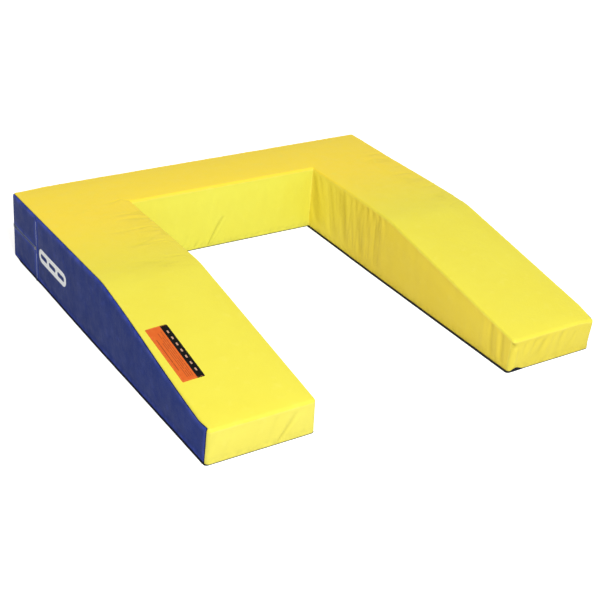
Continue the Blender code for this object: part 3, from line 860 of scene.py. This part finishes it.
def base_vinyl():
    """Dark pebbled underside cloth that grips the floor."""
    material, tree, surface, where = new_material("base_vinyl")
    pebbles = add_node(tree, "TexVoronoi", {"Vector": where, "Scale": 420.0}, feature="SMOOTH_F1").outputs[0]
    scuffs = noise(tree, where, 30.0, 6.0, 0.7)
    colour = blend_colours(tree, ramp(tree, scuffs, 0.5, 0.75, 0, 0.6), (0.005, 0.006, 0.014), (0.02, 0.02, 0.03))
    tree.links.new(colour, surface.inputs["Base Color"])
    tree.links.new(ramp(tree, scuffs, 0.3, 0.7, 0.5, 0.75), surface.inputs["Roughness"])
    surface.inputs["Specular IOR Level"].default_value = 0.2
    bumped(tree, surface, (pebbles, 0.35 * MM), (scuffs, 0.2 * MM))
    return material


def foam(name, colour, cells):
    """Open-cell foam: fine pits and slow colour drift."""
    material, tree, surface, where = new_material(name)
    pits = add_node(tree, "TexVoronoi", {"Vector": where, "Scale": cells}, feature="F1").outputs["Distance"]
    drift = noise(tree, where, 9.0)
    dark = tuple(0.62 * c for c in colour)
    shade = blend_colours(tree, ramp(tree, pits, 0.1, 0.5), colour, dark)
    shade = blend_colours(tree, ramp(tree, drift, 0.35, 0.7, 0, 0.4), shade, dark)
    tree.links.new(shade, surface.inputs["Base Color"])
    surface.inputs["Roughness"].default_value = 0.95
    surface.inputs["Specular IOR Level"].default_value = 0.15
    bumped(tree, surface, (pits, 0.6 * MM))
    return material


def woven_tape(name, colour, pale, pitch):
    """Woven polyester: herringbone ribs from two crossing waves, with lint."""
    material, tree, surface, where = new_material(name)
    parts = add_node(tree, "SeparateXYZ", {"Vector": where}).outputs
    along = math_node(tree, "ADD", parts["X"], parts["Y"])
    slant = math_node(tree, "ABSOLUTE", math_node(tree, "SINE", math_node(tree, "MULTIPLY", parts["Z"], 700.0)))
    phase = math_node(tree, "ADD", math_node(tree, "MULTIPLY", along, 2 * math.pi / pitch), slant)
    rib = math_node(tree, "SINE", phase)
    lint = noise(tree, where, 300.0, 4.0, 0.7)
    shade = blend_colours(tree, ramp(tree, rib, -1, 1), colour, pale)
    shade = blend_colours(tree, ramp(tree, lint, 0.58, 0.75, 0, 0.5), shade, pale)
    tree.links.new(shade, surface.inputs["Base Color"])
    surface.inputs["Roughness"].default_value = 0.88
    surface.inputs["Sheen Weight"].default_value = 0.3
    bumped(tree, surface, (rib, 0.08 * MM), (lint, 0.05 * MM))
    return material


def nylon(name, colour, pale):
    """Moulded nylon or thread: slight gloss, scuffed lighter in places."""
    material, tree, surface, where = new_material(name)
    scuff = noise(tree, where, 160.0, 4.0, 0.7)
    shade = blend_colours(tree, ramp(tree, scuff, 0.42, 0.68), colour, pale)
    tree.links.new(shade, surface.inputs["Base Color"])
    tree.links.new(ramp(tree, scuff, 0.3, 0.7, 0.32, 0.55), surface.inputs["Roughness"])
    bumped(tree, surface, (noise(tree, where, 1500.0, 3.0), 0.03 * MM))
    return material


def cast_metal():
    """Nickel-plated zinc: brushed along its length, dull and darker in worn patches."""
    material, tree, surface, where = new_material("zip_metal")
    stretched = add_node(tree, "Mapping", {"Vector": where, "Scale": (60.0, 900.0, 900.0)}).outputs[0]
    brushed = noise(tree, stretched, 1.0, 6.0, 0.7)
    worn = noise(tree, where, 220.0, 5.0, 0.6)
    shade = blend_colours(tree, ramp(tree, worn, 0.42, 0.7), (0.66, 0.65, 0.62), (0.40, 0.38, 0.34))
    tree.links.new(shade, surface.inputs["Base Color"])
    tree.links.new(ramp(tree, worn, 0.35, 0.75, 0.24, 0.5), surface.inputs["Roughness"])
    surface.inputs["Metallic"].default_value = 1.0
    bumped(tree, surface, (brushed, 0.03 * MM), (worn, 0.05 * MM))
    return material


def patch_face(low, high):
    """Sewn notice patch: orange field, black band down one side, rows of plain dashes for its text."""
    material, tree, surface, where = new_material("patch")
    parts = add_node(tree, "SeparateXYZ", {"Vector": where}).outputs
    across = math_node(tree, "SUBTRACT", high.x, parts["X"])
    along = math_node(tree, "SUBTRACT", parts["Y"], low.y)
    scuff = noise(tree, where, 90.0, 5.0, 0.65)

    def bars(centre, half_width, pitch, fill, start, stop):
        """Dashes of one row: where the row, the repeat and the ends all agree."""
        near = math_node(tree, "COMPARE", across, centre, half_width)
        beat = math_node(tree, "FRACT", math_node(tree, "DIVIDE", along, pitch))
        on = math_node(tree, "LESS_THAN", beat, fill)
        inside = math_node(tree, "COMPARE", along, (start + stop) / 2, (stop - start) / 2)
        return math_node(tree, "MULTIPLY", math_node(tree, "MULTIPLY", near, on), inside)

    length = high.y - low.y
    band = math_node(tree, "LESS_THAN", across, 20.5 * MM)
    field = blend_colours(tree, ramp(tree, scuff, 0.45, 0.7, 0, 0.35), (0.64, 0.115, 0.018), (0.72, 0.17, 0.035))
    lines = None
    for row, pitch, fill, stop in ((27, 31, 0.92, 0.9), (32, 47, 0.94, 0.8), (37, 39, 0.9, 0.88), (42, 53, 0.95, 0.7)):
        line = bars(row * MM, 0.75 * MM, pitch * MM, fill, 12 * MM, stop * length)
        lines = line if lines is None else math_node(tree, "MAXIMUM", lines, line)
    line = bars(51 * MM, 1.1 * MM, 70 * MM, 0.97, 0.2 * length, 0.78 * length)
    lines = math_node(tree, "MAXIMUM", lines, line)
    field = blend_colours(tree, math_node(tree, "MULTIPLY", lines, 0.7), field, (0.16, 0.03, 0.012))
    colour = blend_colours(tree, band, field, (0.005, 0.004, 0.004))
    marks = bars(10.3 * MM, 2.2 * MM, 24.5 * MM, 0.4, 22 * MM, length - 18 * MM)
    colour = blend_colours(tree, math_node(tree, "MULTIPLY", marks, 0.8), colour, (0.62, 0.36, 0.25))
    tree.links.new(colour, surface.inputs["Base Color"])
    tree.links.new(ramp(tree, scuff, 0.3, 0.7, 0.38, 0.58), surface.inputs["Roughness"])
    surface.inputs["Specular IOR Level"].default_value = 0.08
    weave = cross_weave(tree, where, 0.9 * MM)
    bumped(tree, surface, (scuff, 0.25 * MM), (weave, 0.015 * MM))
    return material


def ink():
    """White flexible ink of the badge: fine cracks and a trace of the navy under it."""
    material, tree, surface, where = new_material("badge")
    thin = noise(tree, where, 55.0, 6.0, 0.7)
    cracks = add_node(tree, "TexVoronoi", {"Vector": where, "Scale": 130.0}, feature="DISTANCE_TO_EDGE")
    crack = ramp(tree, cracks.outputs["Distance"], 0.02, 0.0)
    crack = math_node(tree, "MULTIPLY", crack, ramp(tree, thin, 0.5, 0.7))
    colour = blend_colours(tree, ramp(tree, thin, 0.4, 0.75, 0, 0.3), (0.93, 0.94, 0.97), (0.76, 0.79, 0.87))
    colour = blend_colours(tree, math_node(tree, "MULTIPLY", crack, 0.7), colour, (0.2, 0.24, 0.4))
    tree.links.new(colour, surface.inputs["Base Color"])
    tree.links.new(ramp(tree, thin, 0.3, 0.7, 0.38, 0.56), surface.inputs["Roughness"])
    bumped(tree, surface, (cross_weave(tree, where, 1.3 * MM), 0.012 * MM), (thin, 0.2 * MM))
    return material


def floor_paper():
    """Pale studio floor: near white where the camera sees it, greyer in the light it throws back."""
    material, tree, surface, where = new_material("studio_floor")
    seen = add_node(tree, "LightPath").outputs["Is Camera Ray"]
    pale = blend_colours(tree, noise(tree, where, 2.0), (0.93, 0.93, 0.93), (0.96, 0.96, 0.96))
    tree.links.new(blend_colours(tree, seen, FLOOR_BOUNCE, pale), surface.inputs["Base Color"])
    surface.inputs["Emission Color"].default_value = (1, 1, 1, 1)
    tree.links.new(math_node(tree, "MULTIPLY", seen, FLOOR_GLOW), surface.inputs["Emission Strength"])
    surface.inputs["Roughness"].default_value = 0.9
    surface.inputs["Specular IOR Level"].default_value = 0.0
    return material


FLOOR_BOUNCE = (0.72, 0.72, 0.72)
FLOOR_GLOW = 0.50
YELLOW = vinyl(
    "yellow_vinyl",
    (0.760, 0.665, 0.062),
    (0.81, 0.715, 0.11),
    (0.745, 0.635, 0.05),
    # Painted shade: the tops turn a warmer orange toward the rear, where less light reaches them.
    painted_light_tint=(0.95, 0.69, 0.044),
    inward=(-0.56, -0.10),
)
# Painted light and sheen: a paler, less saturated copy of the yellow for the left arm's end, as if it got more light.
YELLOW_LIT_END = vinyl("yellow_vinyl_lit_end", (0.77, 0.68, 0.105), (0.82, 0.72, 0.15), (0.75, 0.65, 0.09))
NAVY = vinyl(
    "navy_vinyl",
    (0.006, 0.025, 0.200),
    (0.04, 0.070, 0.47),
    (0.005, 0.019, 0.155),
    # Painted highlight and wear: a strong pale blue band along the navy's seams, where the rolled edges catch the
    # light.
    wear_and_highlight_share=0.9,
    wear_and_highlight_reach=20 * MM,
    shine=0.14,
    groove_shade=0.9,
)
# Painted light: a lighter, more lemon copy of the yellow for the bay's back wall, as if it got more light.
YELLOW_LIT_BACK = vinyl("yellow_vinyl_lit_back", (0.79, 0.745, 0.09), (0.83, 0.77, 0.13), (0.77, 0.70, 0.075))
# Painted shade: a darker copy of the yellow for the right arm's end, as if it got less light.
YELLOW_SHADED_END = vinyl("yellow_vinyl_shaded_end", (0.73, 0.60, 0.064), (0.78, 0.66, 0.11), (0.71, 0.565, 0.05))
# Painted light: the bay's side walls turn lighter toward the rear, as if lit by light thrown back from the bay's back
# wall.
YELLOW_BAY_LIT_REAR = vinyl(
    "yellow_vinyl_bay_lit_rear", (0.84, 0.655, 0.062), (0.88, 0.71, 0.11), (0.82, 0.62, 0.05), painted_light_tint=(0.95, 0.80, 0.09)
)
# Lit and shaded copies of the yellow for some panels: painted light and shade.
YELLOWS = {
    "bay_back_cover": YELLOW_LIT_BACK,
    "bay_left_cover": YELLOW_BAY_LIT_REAR,
    "bay_right_cover": YELLOW_BAY_LIT_REAR,
    "left_end_cover": YELLOW_LIT_END,
    "right_end_cover": YELLOW_SHADED_END,
}
BASE = base_vinyl()
BLOCK_FOAM = foam("block_foam", (0.62, 0.56, 0.40), 700.0)
PAD_FOAM = foam("pad_foam", (0.80, 0.80, 0.76), 1100.0)
TAPE = woven_tape("zip_tape", (0.012, 0.016, 0.045), (0.03, 0.038, 0.085), 1.1 * MM)
TEETH = nylon("zip_teeth", (0.10, 0.125, 0.23), (0.17, 0.20, 0.32))
THREAD_NAVY = nylon("thread_navy", (0.22, 0.27, 0.45), (0.32, 0.37, 0.55))
THREAD_PALE = nylon("thread_pale", (0.42, 0.47, 0.64), (0.55, 0.60, 0.75))
THREAD_BLACK = nylon("thread_black", (0.012, 0.011, 0.010), (0.03, 0.027, 0.025))
THREAD_ORANGE = nylon("thread_orange", (0.80, 0.22, 0.05), (0.90, 0.34, 0.12))
METAL = cast_metal()
PATCH = patch_face(*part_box("caution_patch"))
BADGE = ink()


# ---------------------------------------------------------------- pieces


def dress(obj, material, slot, body="mat", *replaced):
    """Give a new piece its material and body, and hide the CAD nodes it stands for; slot is not used."""
    obj.data.materials.clear()
    obj.data.materials.append(material)
    for polygon in obj.data.polygons:
        polygon.use_smooth = True
    if replaced:
        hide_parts(*replaced)
    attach(obj, body)
    return obj


def hem(obj, depth):
    """Turn the zip mouth's free edge inwards, so that the vinyl shows a thickness there."""
    mesh = bmesh.new()
    mesh.from_mesh(obj.data)
    mesh.normal_update()
    near = [e for e in mesh.edges if e.is_boundary and all(abs(v.co.z - ZIP_Z) < MOUTH + MM for v in e.verts)]
    inward = {v: v.normal * -depth for e in near for v in e.verts}
    made = bmesh.ops.extrude_edge_only(mesh, edges=near)["geom"]
    for v in (g for g in made if isinstance(g, bmesh.types.BMVert)):
        source = next(e.other_vert(v) for e in v.link_edges if e.other_vert(v) in inward)
        v.co += inward[source]
    mesh.normal_update()
    mesh.to_mesh(obj.data)
    mesh.free()


def cover_pieces(points, quads, panel_ids, shades):
    """Split the finished cover into its sewn panels, one object each."""
    whole = mesh_object("cover_whole", points, quads)
    flat = np.empty(len(points) * 3, np.float32)
    whole.data.vertex_normals.foreach_get("vector", flat)
    normals = flat.reshape(-1, 3)
    bpy.data.objects.remove(whole, do_unlink=True)
    for number, panel in enumerate(PANELS):
        mine = quads[panel_ids == number]
        used, local = np.unique(mine, return_inverse=True)
        obj = mesh_object(panel + "_vinyl", points[used], local.reshape(-1, 4))
        for label, values in shades.items():
            attribute = obj.data.attributes.new(label, "FLOAT", "POINT")
            attribute.data.foreach_set("value", values[used].astype(np.float32))
        navy = panel.startswith(("left_side", "right_side", "rear_band"))
        material = NAVY if navy else YELLOWS.get(panel, YELLOW)
        if panel.startswith("rear_band"):
            hem(obj, 0.8 * MM)
        dress(obj, material, "navy_vinyl" if navy else "yellow_vinyl", "mat", panel)
        if not panel.startswith("rear_band"):
            obj.data.normals_split_custom_set_from_vertices([tuple(n) for n in normals[used]])


def base_piece(points, foot):
    """Underside sheet: a dark hem that peeps out beside the arms, turns in under the mat, and a flat sole."""
    loop = points[foot]
    along = (np.roll(loop, -1, axis=0) - np.roll(loop, 1, axis=0))[:, :2]
    along /= np.linalg.norm(along, axis=1, keepdims=True) + 1e-9
    out = np.stack([along[:, 1], -along[:, 0], np.zeros(len(loop))], 1)
    far = np.argmax(loop[:, 1])
    if out[far, 1] < 0:
        out = -out
    on_right = smooth(loop[:, :1], -0.1, 0.1)
    beside = np.where(out[:, :1] * np.sign(loop[:, :1]) > 0, 0.43 * (1 - on_right), on_right)
    beside = (0.3 + 0.7 * beside) * out[:, :1] ** 2 * smooth(REAR - loop[:, 1:2], 12 * MM, 70 * MM)
    rows, count = [], len(loop)
    for inset, flange, z in (
        (1.0, 0.0, loop[:, 2] + 1.2 * MM),
        (0.6, 0.5, LIP + 0.7 * MM),
        (0.1, 4.5, LIP + 0.5 * MM),
        (-0.2, 6.2, LIP - 0.6 * MM),
        (0.1, 6.2, 1.2 * MM),
        (1.0, 5.2, 0.3 * MM),
        (3.0, 2.0, 0.0),
    ):
        row = loop - out * (inset * MM - beside * flange * MM)
        row[:, 2] = z
        rows.append(row)
    faces = []
    for r in range(len(rows) - 1):
        for k in range(count):
            n = (k + 1) % count
            faces.append((r * count + k, r * count + n, (r + 1) * count + n, (r + 1) * count + k))
    last = (len(rows) - 1) * count
    faces.append(tuple(range(last, last + count)))
    obj = mesh_object("base_cover_vinyl", np.concatenate(rows), faces)
    mesh = bmesh.new()
    mesh.from_mesh(obj.data)
    bmesh.ops.recalc_face_normals(mesh, faces=mesh.faces)
    bmesh.ops.triangulate(mesh, faces=[f for f in mesh.faces if len(f.verts) > 4])
    mesh.to_mesh(obj.data)
    mesh.free()
    return dress(obj, BASE, "base_vinyl", "mat", "base_cover")


def foam_block(node, inset, bevel, material, slot):
    """A foam block: the CAD solid's hull drawn in from the cover, with softened edges."""
    mesh = bmesh.new()
    mesh.from_mesh(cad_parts[node].data)
    hull = node.startswith("crossbar")
    bmesh.ops.remove_doubles(mesh, verts=mesh.verts, dist=0.01 * MM)
    if hull:
        result = bmesh.ops.convex_hull(mesh, input=mesh.verts)
        bmesh.ops.delete(mesh, geom=[g for g in result["geom_interior"] if isinstance(g, bmesh.types.BMVert)], context="VERTS")
    bmesh.ops.dissolve_limit(mesh, angle_limit=math.radians(1), verts=mesh.verts, edges=mesh.edges)
    mesh.normal_update()
    moves = {}
    for v in mesh.verts:
        planes = np.array([f.normal for f in v.link_faces])
        moves[v] = Vector(np.linalg.lstsq(planes, np.full(len(planes), -inset), rcond=None)[0])
    for v, move in moves.items():
        if move.length < 4 * inset:
            v.co += move
    obj = mesh_object(node + "_block", [v.co for v in mesh.verts], [[v.index for v in f.verts] for f in mesh.faces])
    mesh.free()
    soft = obj.modifiers.new("Soft", "BEVEL")
    soft.width = bevel
    soft.segments = 3
    soft.limit_method = "ANGLE"
    return dress(obj, material, slot, "mat", node)


# ---------------------------------------------------------------- zip, stitching, patch and badge


def round_back(distance, offset):
    """A point on the zip's line, and the way out of the wall there: up the left side, round the corner, along the rear."""
    side_run = REAR - CORNER - SEAM_Y
    turn = CORNER * math.pi / 2
    if distance < side_run:
        return Vector((-SIDE - offset, SEAM_Y + distance, ZIP_Z)), Vector((-1, 0, 0))
    if distance < side_run + turn:
        angle = (distance - side_run) / CORNER
        out = Vector((-math.cos(angle), math.sin(angle), 0))
        centre = Vector((-SIDE + CORNER, REAR - CORNER, ZIP_Z))
        return centre + out * (CORNER + offset), out
    along = distance - side_run - turn
    return Vector((-SIDE + CORNER + along, REAR + offset, ZIP_Z)), Vector((0, 1, 0))


def round_back_length(x):
    """Length of the zip's line from the left seam to a place x along the rear."""
    return REAR - CORNER - SEAM_Y + CORNER * math.pi / 2 + x + SIDE - CORNER


def joined(name, parts):
    """One object from many (points, faces) parts."""
    points, faces = [], []
    for part_points, part_faces in parts:
        start = len(points)
        points += part_points
        faces += [tuple(start + k for k in face) for face in part_faces]
    return mesh_object(name, points, faces)


def tube(centres, sides, across, up):
    """Closed lofted rod: centres is a list of (point, half width, half height)."""
    points, faces = [], []
    for point, wide, high in centres:
        for k in range(sides):
            angle = 2 * math.pi * k / sides
            points.append(point + across * (wide * math.cos(angle)) + up * (high * math.sin(angle)))
    for r in range(len(centres) - 1):
        for k in range(sides):
            n = (k + 1) % sides
            faces.append((r * sides + k, r * sides + n, (r + 1) * sides + n, (r + 1) * sides + k))
    faces.append(tuple(reversed(range(sides))))
    faces.append(tuple(range(len(points) - sides, len(points))))
    return points, faces


TOOTH_PITCH = 2.5 * MM


def zip_rows():
    """Two rows of coil teeth, each tooth a rounded loop with a broad head near the centre line."""
    low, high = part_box("zip_teeth_upper")
    heads, roots = low.z - ZIP_Z - 0.35 * MM, high.z - ZIP_Z
    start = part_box("zip_start_stop")[1].y - SEAM_Y + 1.2 * MM
    end = round_back_length(high.x) - 1.3 * MM
    proud = high.y - REAR
    middle, half = proud - 1.25 * MM, 1.1 * MM
    for hand, label in ((1, "upper"), (-1, "lower")):
        parts = []
        count = int((end - start) / TOOTH_PITCH)
        for k in range(count):
            shift = 0.5 if hand > 0 else 0.0
            centre, out = round_back(start + (k + shift) * TOOTH_PITCH, middle)
            along = Vector((-out.y, out.x, 0))
            spans = ((heads, 0.45, 0.55), (heads + 0.3 * MM, 0.95, 0.9), (heads + 0.9 * MM, 0.95, 1.0))
            spans += ((heads + 1.4 * MM, 0.62, 0.85), (roots - 0.4 * MM, 0.62, 0.8), (roots, 0.4, 0.5))
            rings = [
                (centre + Vector((0, 0, hand * z)), wide * 0.95 * MM, tall * half) for z, wide, tall in spans
            ]
            parts.append(tube(rings, 8, along * hand, out))
        obj = joined(f"zip_teeth_{label}_coil", parts)
        dress(obj, TEETH, "zip_teeth", "mat", f"zip_teeth_{label}")


def zip_end_facing():
    """A strip of tape sewn upright behind the zip's closed end, so that no foam shows past the two tapes."""
    middle = (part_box("zip_tape_upper")[1].x + MOUTH_END) / 2
    behind = REAR - 2.4 * MM
    rings = [(Vector((middle, behind, ZIP_Z + z * MM)), 11 * MM, 0.35 * MM) for z in (-14, -7, 0, 7, 14)]
    strip = joined("zip_end_facing", [tube(rings, 8, Vector((1, 0, 0)), Vector((0, 1, 0)))])
    dress(strip, TAPE, "zip_tape")


def surface_tree(points, quads):
    return BVHTree.FromPolygons([Vector(p) for p in points], [tuple(int(i) for i in q) for q in quads])


def on_surface(tree, point, out, lift):
    """The cover's surface under a point, seen along -out, lifted by lift; and its normal."""
    hit, normal, _, _ = tree.ray_cast(point + out * 0.03, -out, 0.08)
    if hit is None:
        return point + out * lift, out
    if normal.dot(out) < 0:
        normal = -normal
    return hit + normal * lift, normal


def stitch_rows(name, tree, rows, material, slot, pitch=3.6 * MM, thread=0.34 * MM):
    """Lock stitches along rows; a row is (place function of distance, length), place gives point and way out."""
    parts = []
    for place, length in rows:
        for k in range(int(length / pitch)):
            ends = []
            for share in (0.10, 0.5, 0.86):
                point, out = place((k + share) * pitch)
                ends.append(on_surface(tree, point, out, 0.0))
            (a, na), (b, nb), (c, nc) = ends
            along = (c - a).normalized()
            across = along.cross(nb).normalized()
            rings = [
                (a - na * 0.25 * MM, thread * 0.6, thread * 0.6),
                (a + na * 0.15 * MM + along * 0.2 * MM, thread, thread),
                (b + nb * 0.28 * MM, thread, thread),
                (c + nc * 0.15 * MM - along * 0.2 * MM, thread, thread),
                (c - nc * 0.25 * MM, thread * 0.6, thread * 0.6),
            ]
            parts.append(tube(rings, 6, across, nb))
    return dress(joined(name, parts), material, slot)


def zip_stitching(tree):
    """A topstitched row along each lip of the zip's mouth, and one down each lapped side seam."""

    def beside_mouth(hand):
        def place(distance):
            point, out = round_back(distance, 0.0)
            point.z += hand * (MOUTH - mouth_gather(point.y) + 2.6 * MM)
            return point, out

        return place

    def down_seam(side):
        def place(distance):
            return Vector((side * SIDE, SEAM_Y - 3.2 * MM, LIP + 5 * MM + distance)), Vector((side, 0, 0))

        return place

    mouth_rows = [(beside_mouth(hand), round_back_length(MOUTH_END - 3 * MM)) for hand in (-1, 1)]
    seam_rows = [(down_seam(side), HEIGHT - ROLL - LIP - 10 * MM) for side in (-1, 1)]
    stitch_rows("cover_topstitching", tree, mouth_rows, THREAD_NAVY, "navy_vinyl")
    stitch_rows("side_seam_stitching", tree, seam_rows, THREAD_PALE, "navy_vinyl", thread=0.5 * MM)


def draped(node, name, tree, out, material, slot, lift, cell):
    """A thin CAD sheet made to lie on the finished cover: its mesh divided finely and lifted onto it."""
    mesh = bmesh.new()
    mesh.from_mesh(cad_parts[node].data)
    bmesh.ops.remove_doubles(mesh, verts=mesh.verts, dist=0.01 * MM)
    for _ in range(8):
        long_edges = [e for e in mesh.edges if e.calc_length() > cell]
        if not long_edges:
            break
        bmesh.ops.subdivide_edges(mesh, edges=long_edges, cuts=1, use_grid_fill=False)
        bmesh.ops.triangulate(mesh, faces=[f for f in mesh.faces if len(f.verts) > 3], quad_method="BEAUTY")
    mesh.normal_update()
    faces_out = {v: any(f.normal.dot(out) > 0.3 for f in v.link_faces) for v in mesh.verts}
    for v in mesh.verts:
        height = lift if faces_out[v] else -0.4 * MM
        rim = faces_out[v] and any(f.normal.dot(out) < 0.3 for f in v.link_faces)
        v.co = on_surface(tree, v.co, out, height * (0.72 if rim else 1))[0]
    obj = mesh_object(name, [v.co for v in mesh.verts], [[v.index for v in f.verts] for f in mesh.faces])
    mesh.free()
    return dress(obj, material, slot, "mat", node)


def patch_piece(tree):
    """The notice patch on the left slope, with a stitched border."""
    low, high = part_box("caution_patch")
    up = Vector((0, 0, 1))
    patch = draped("caution_patch", "caution_patch_sewn", tree, up, PATCH, "patch", 0.55 * MM, 6 * MM)
    inset = 2.4 * MM
    x0, x1, y0, y1 = low.x + inset, high.x - inset, low.y + inset, high.y - inset
    own = BVHTree.FromObject(patch, bpy.context.evaluated_depsgraph_get())

    def side(a, b):
        start, end = Vector((*a, 0)), Vector((*b, 0))
        step = (end - start).normalized()

        def place(s):
            point = start + step * s
            point.z = top_z(point.y)
            return point, up

        return place, (end - start).length

    corners = ((x0, y0), (x1, y0), (x1, y1), (x0, y1))
    rows = [side(a, b) for a, b in zip(corners, corners[1:] + corners[:1])]
    stitch_rows("patch_band_stitching", own, rows[1:2], THREAD_BLACK, "patch", 3.0 * MM, 0.3 * MM)
    del rows[1]
    stitch_rows("patch_stitching", own, rows, THREAD_ORANGE, "patch", 3.0 * MM, 0.3 * MM)


def dressed_hardware():
    """Materials and softened edges for the CAD parts that stay: tapes, stops, slider and pull."""
    for node, material in (
        ("zip_tape_upper", TAPE),
        ("zip_tape_lower", TAPE),
        ("zip_start_stop", METAL),
        ("zip_end_stop_upper", METAL),
        ("zip_end_stop_lower", METAL),
        ("zip_slider", METAL),
        ("zip_pull", METAL),
    ):
        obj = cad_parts[node]
        obj.data.materials.clear()
        obj.data.materials.append(material)
        if material is METAL:
            soft = obj.modifiers.new("Soft", "BEVEL")
            soft.width = 0.25 * MM
            soft.segments = 2
            soft.limit_method = "ANGLE"
            soft.angle_limit = math.radians(40)


# ---------------------------------------------------------------- studio


def studio():
    floor = mesh_object("studio_floor", [(-9, -9, 0), (9, -9, 0), (9, 9, 0), (-9, 9, 0)], [(0, 1, 2, 3)])
    floor.data.materials.append(floor_paper())
    world = bpy.data.worlds.new("studio_world")
    world.use_nodes = True
    tree = world.node_tree
    seen = add_node(tree, "LightPath").outputs["Is Camera Ray"]
    sky = tree.nodes["Background"].inputs
    tree.links.new(blend_colours(tree, seen, WORLD_COLOUR, (1.0, 1.0, 1.0)), sky["Color"])
    tree.links.new(ramp(tree, seen, 0, 1, WORLD_STRENGTH, 1.0), sky["Strength"])
    bpy.context.scene.world = world
    aim = Vector((0, (FRONT + REAR) / 2, HEIGHT / 2))
    for name, azimuth, elevation, distance, size, power, tint in LAMPS:
        lamp = bpy.data.lights.new(name, "AREA")
        lamp.shape = "SQUARE"
        lamp.size = size
        lamp.energy = power
        lamp.color = tint
        obj = bpy.data.objects.new(name, lamp)
        a, e = math.radians(azimuth), math.radians(elevation)
        way = Vector((math.sin(a) * math.cos(e), -math.cos(a) * math.cos(e), math.sin(e)))
        obj.location = aim + way * distance
        obj.rotation_euler = way.to_track_quat("Z", "Y").to_euler()
        bpy.context.scene.collection.objects.link(obj)


def camera():
    """Seen from the left of the open end, from above, as a long lens sees it, rolled a little."""
    azimuth, elevation, roll = (math.radians(a) for a in (-34.88, 28.64, 4.74))
    width = 2 * SIDE
    back = Vector(
        (math.sin(azimuth) * math.cos(elevation), -math.cos(azimuth) * math.cos(elevation), math.sin(elevation))
    )
    right = Vector((0, 0, 1)).cross(back).normalized()
    up = back.cross(right)
    turned = right * math.cos(roll) + up * math.sin(roll)
    lens = bpy.data.cameras.new("camera")
    lens.lens = 75.99
    lens.sensor_width = 36
    lens.clip_end = 50
    obj = bpy.data.objects.new("camera", lens)
    spot = Vector((-1.501, -1.700, 1.453)) * width + Vector((0, FRONT, 0))
    turn = Matrix((turned, back.cross(turned), back)).transposed()
    obj.matrix_world = Matrix.Translation(spot) @ turn.to_4x4()
    bpy.context.scene.collection.objects.link(obj)
    bpy.context.scene.camera = obj


WORLD_COLOUR = (1.0, 0.975, 0.91)
WORLD_STRENGTH = 0.60
# name, azimuth from the open end, elevation, distance, size, power, colour
LAMPS = (
    ("key_light", -15, 46, 5.2, 1.4, 194, (0.94, 1.0, 0.97)),
    ("front_fill", 4, 12, 5.0, 2.0, 15, (1.0, 1.0, 1.0)),
)

COVER_POINTS, COVER_QUADS, COVER_PANELS, COVER_SHADES, FOOT = finished_cover()
cover_pieces(COVER_POINTS, COVER_QUADS, COVER_PANELS, COVER_SHADES)
base_piece(COVER_POINTS, FOOT)
for block in ("crossbar_foam", "left_arm_foam", "right_arm_foam"):
    foam_block(block, 5 * MM, 6 * MM, BLOCK_FOAM, "block_foam")
for pad in ("crossbar_top_pad", "left_arm_top_pad", "right_arm_top_pad"):
    foam_block(pad, 4 * MM, 4 * MM, PAD_FOAM, "pad_foam")
zip_rows()
zip_end_facing()
COVER_TREE = surface_tree(COVER_POINTS, COVER_QUADS)
zip_stitching(COVER_TREE)
patch_piece(COVER_TREE)
draped("side_badge", "side_badge_print", COVER_TREE, Vector((-1, 0, 0)), BADGE, "badge", 0.3 * MM, 7 * MM)
dressed_hardware()
studio()
camera()
bpy.context.scene.view_settings.view_transform = "Standard"
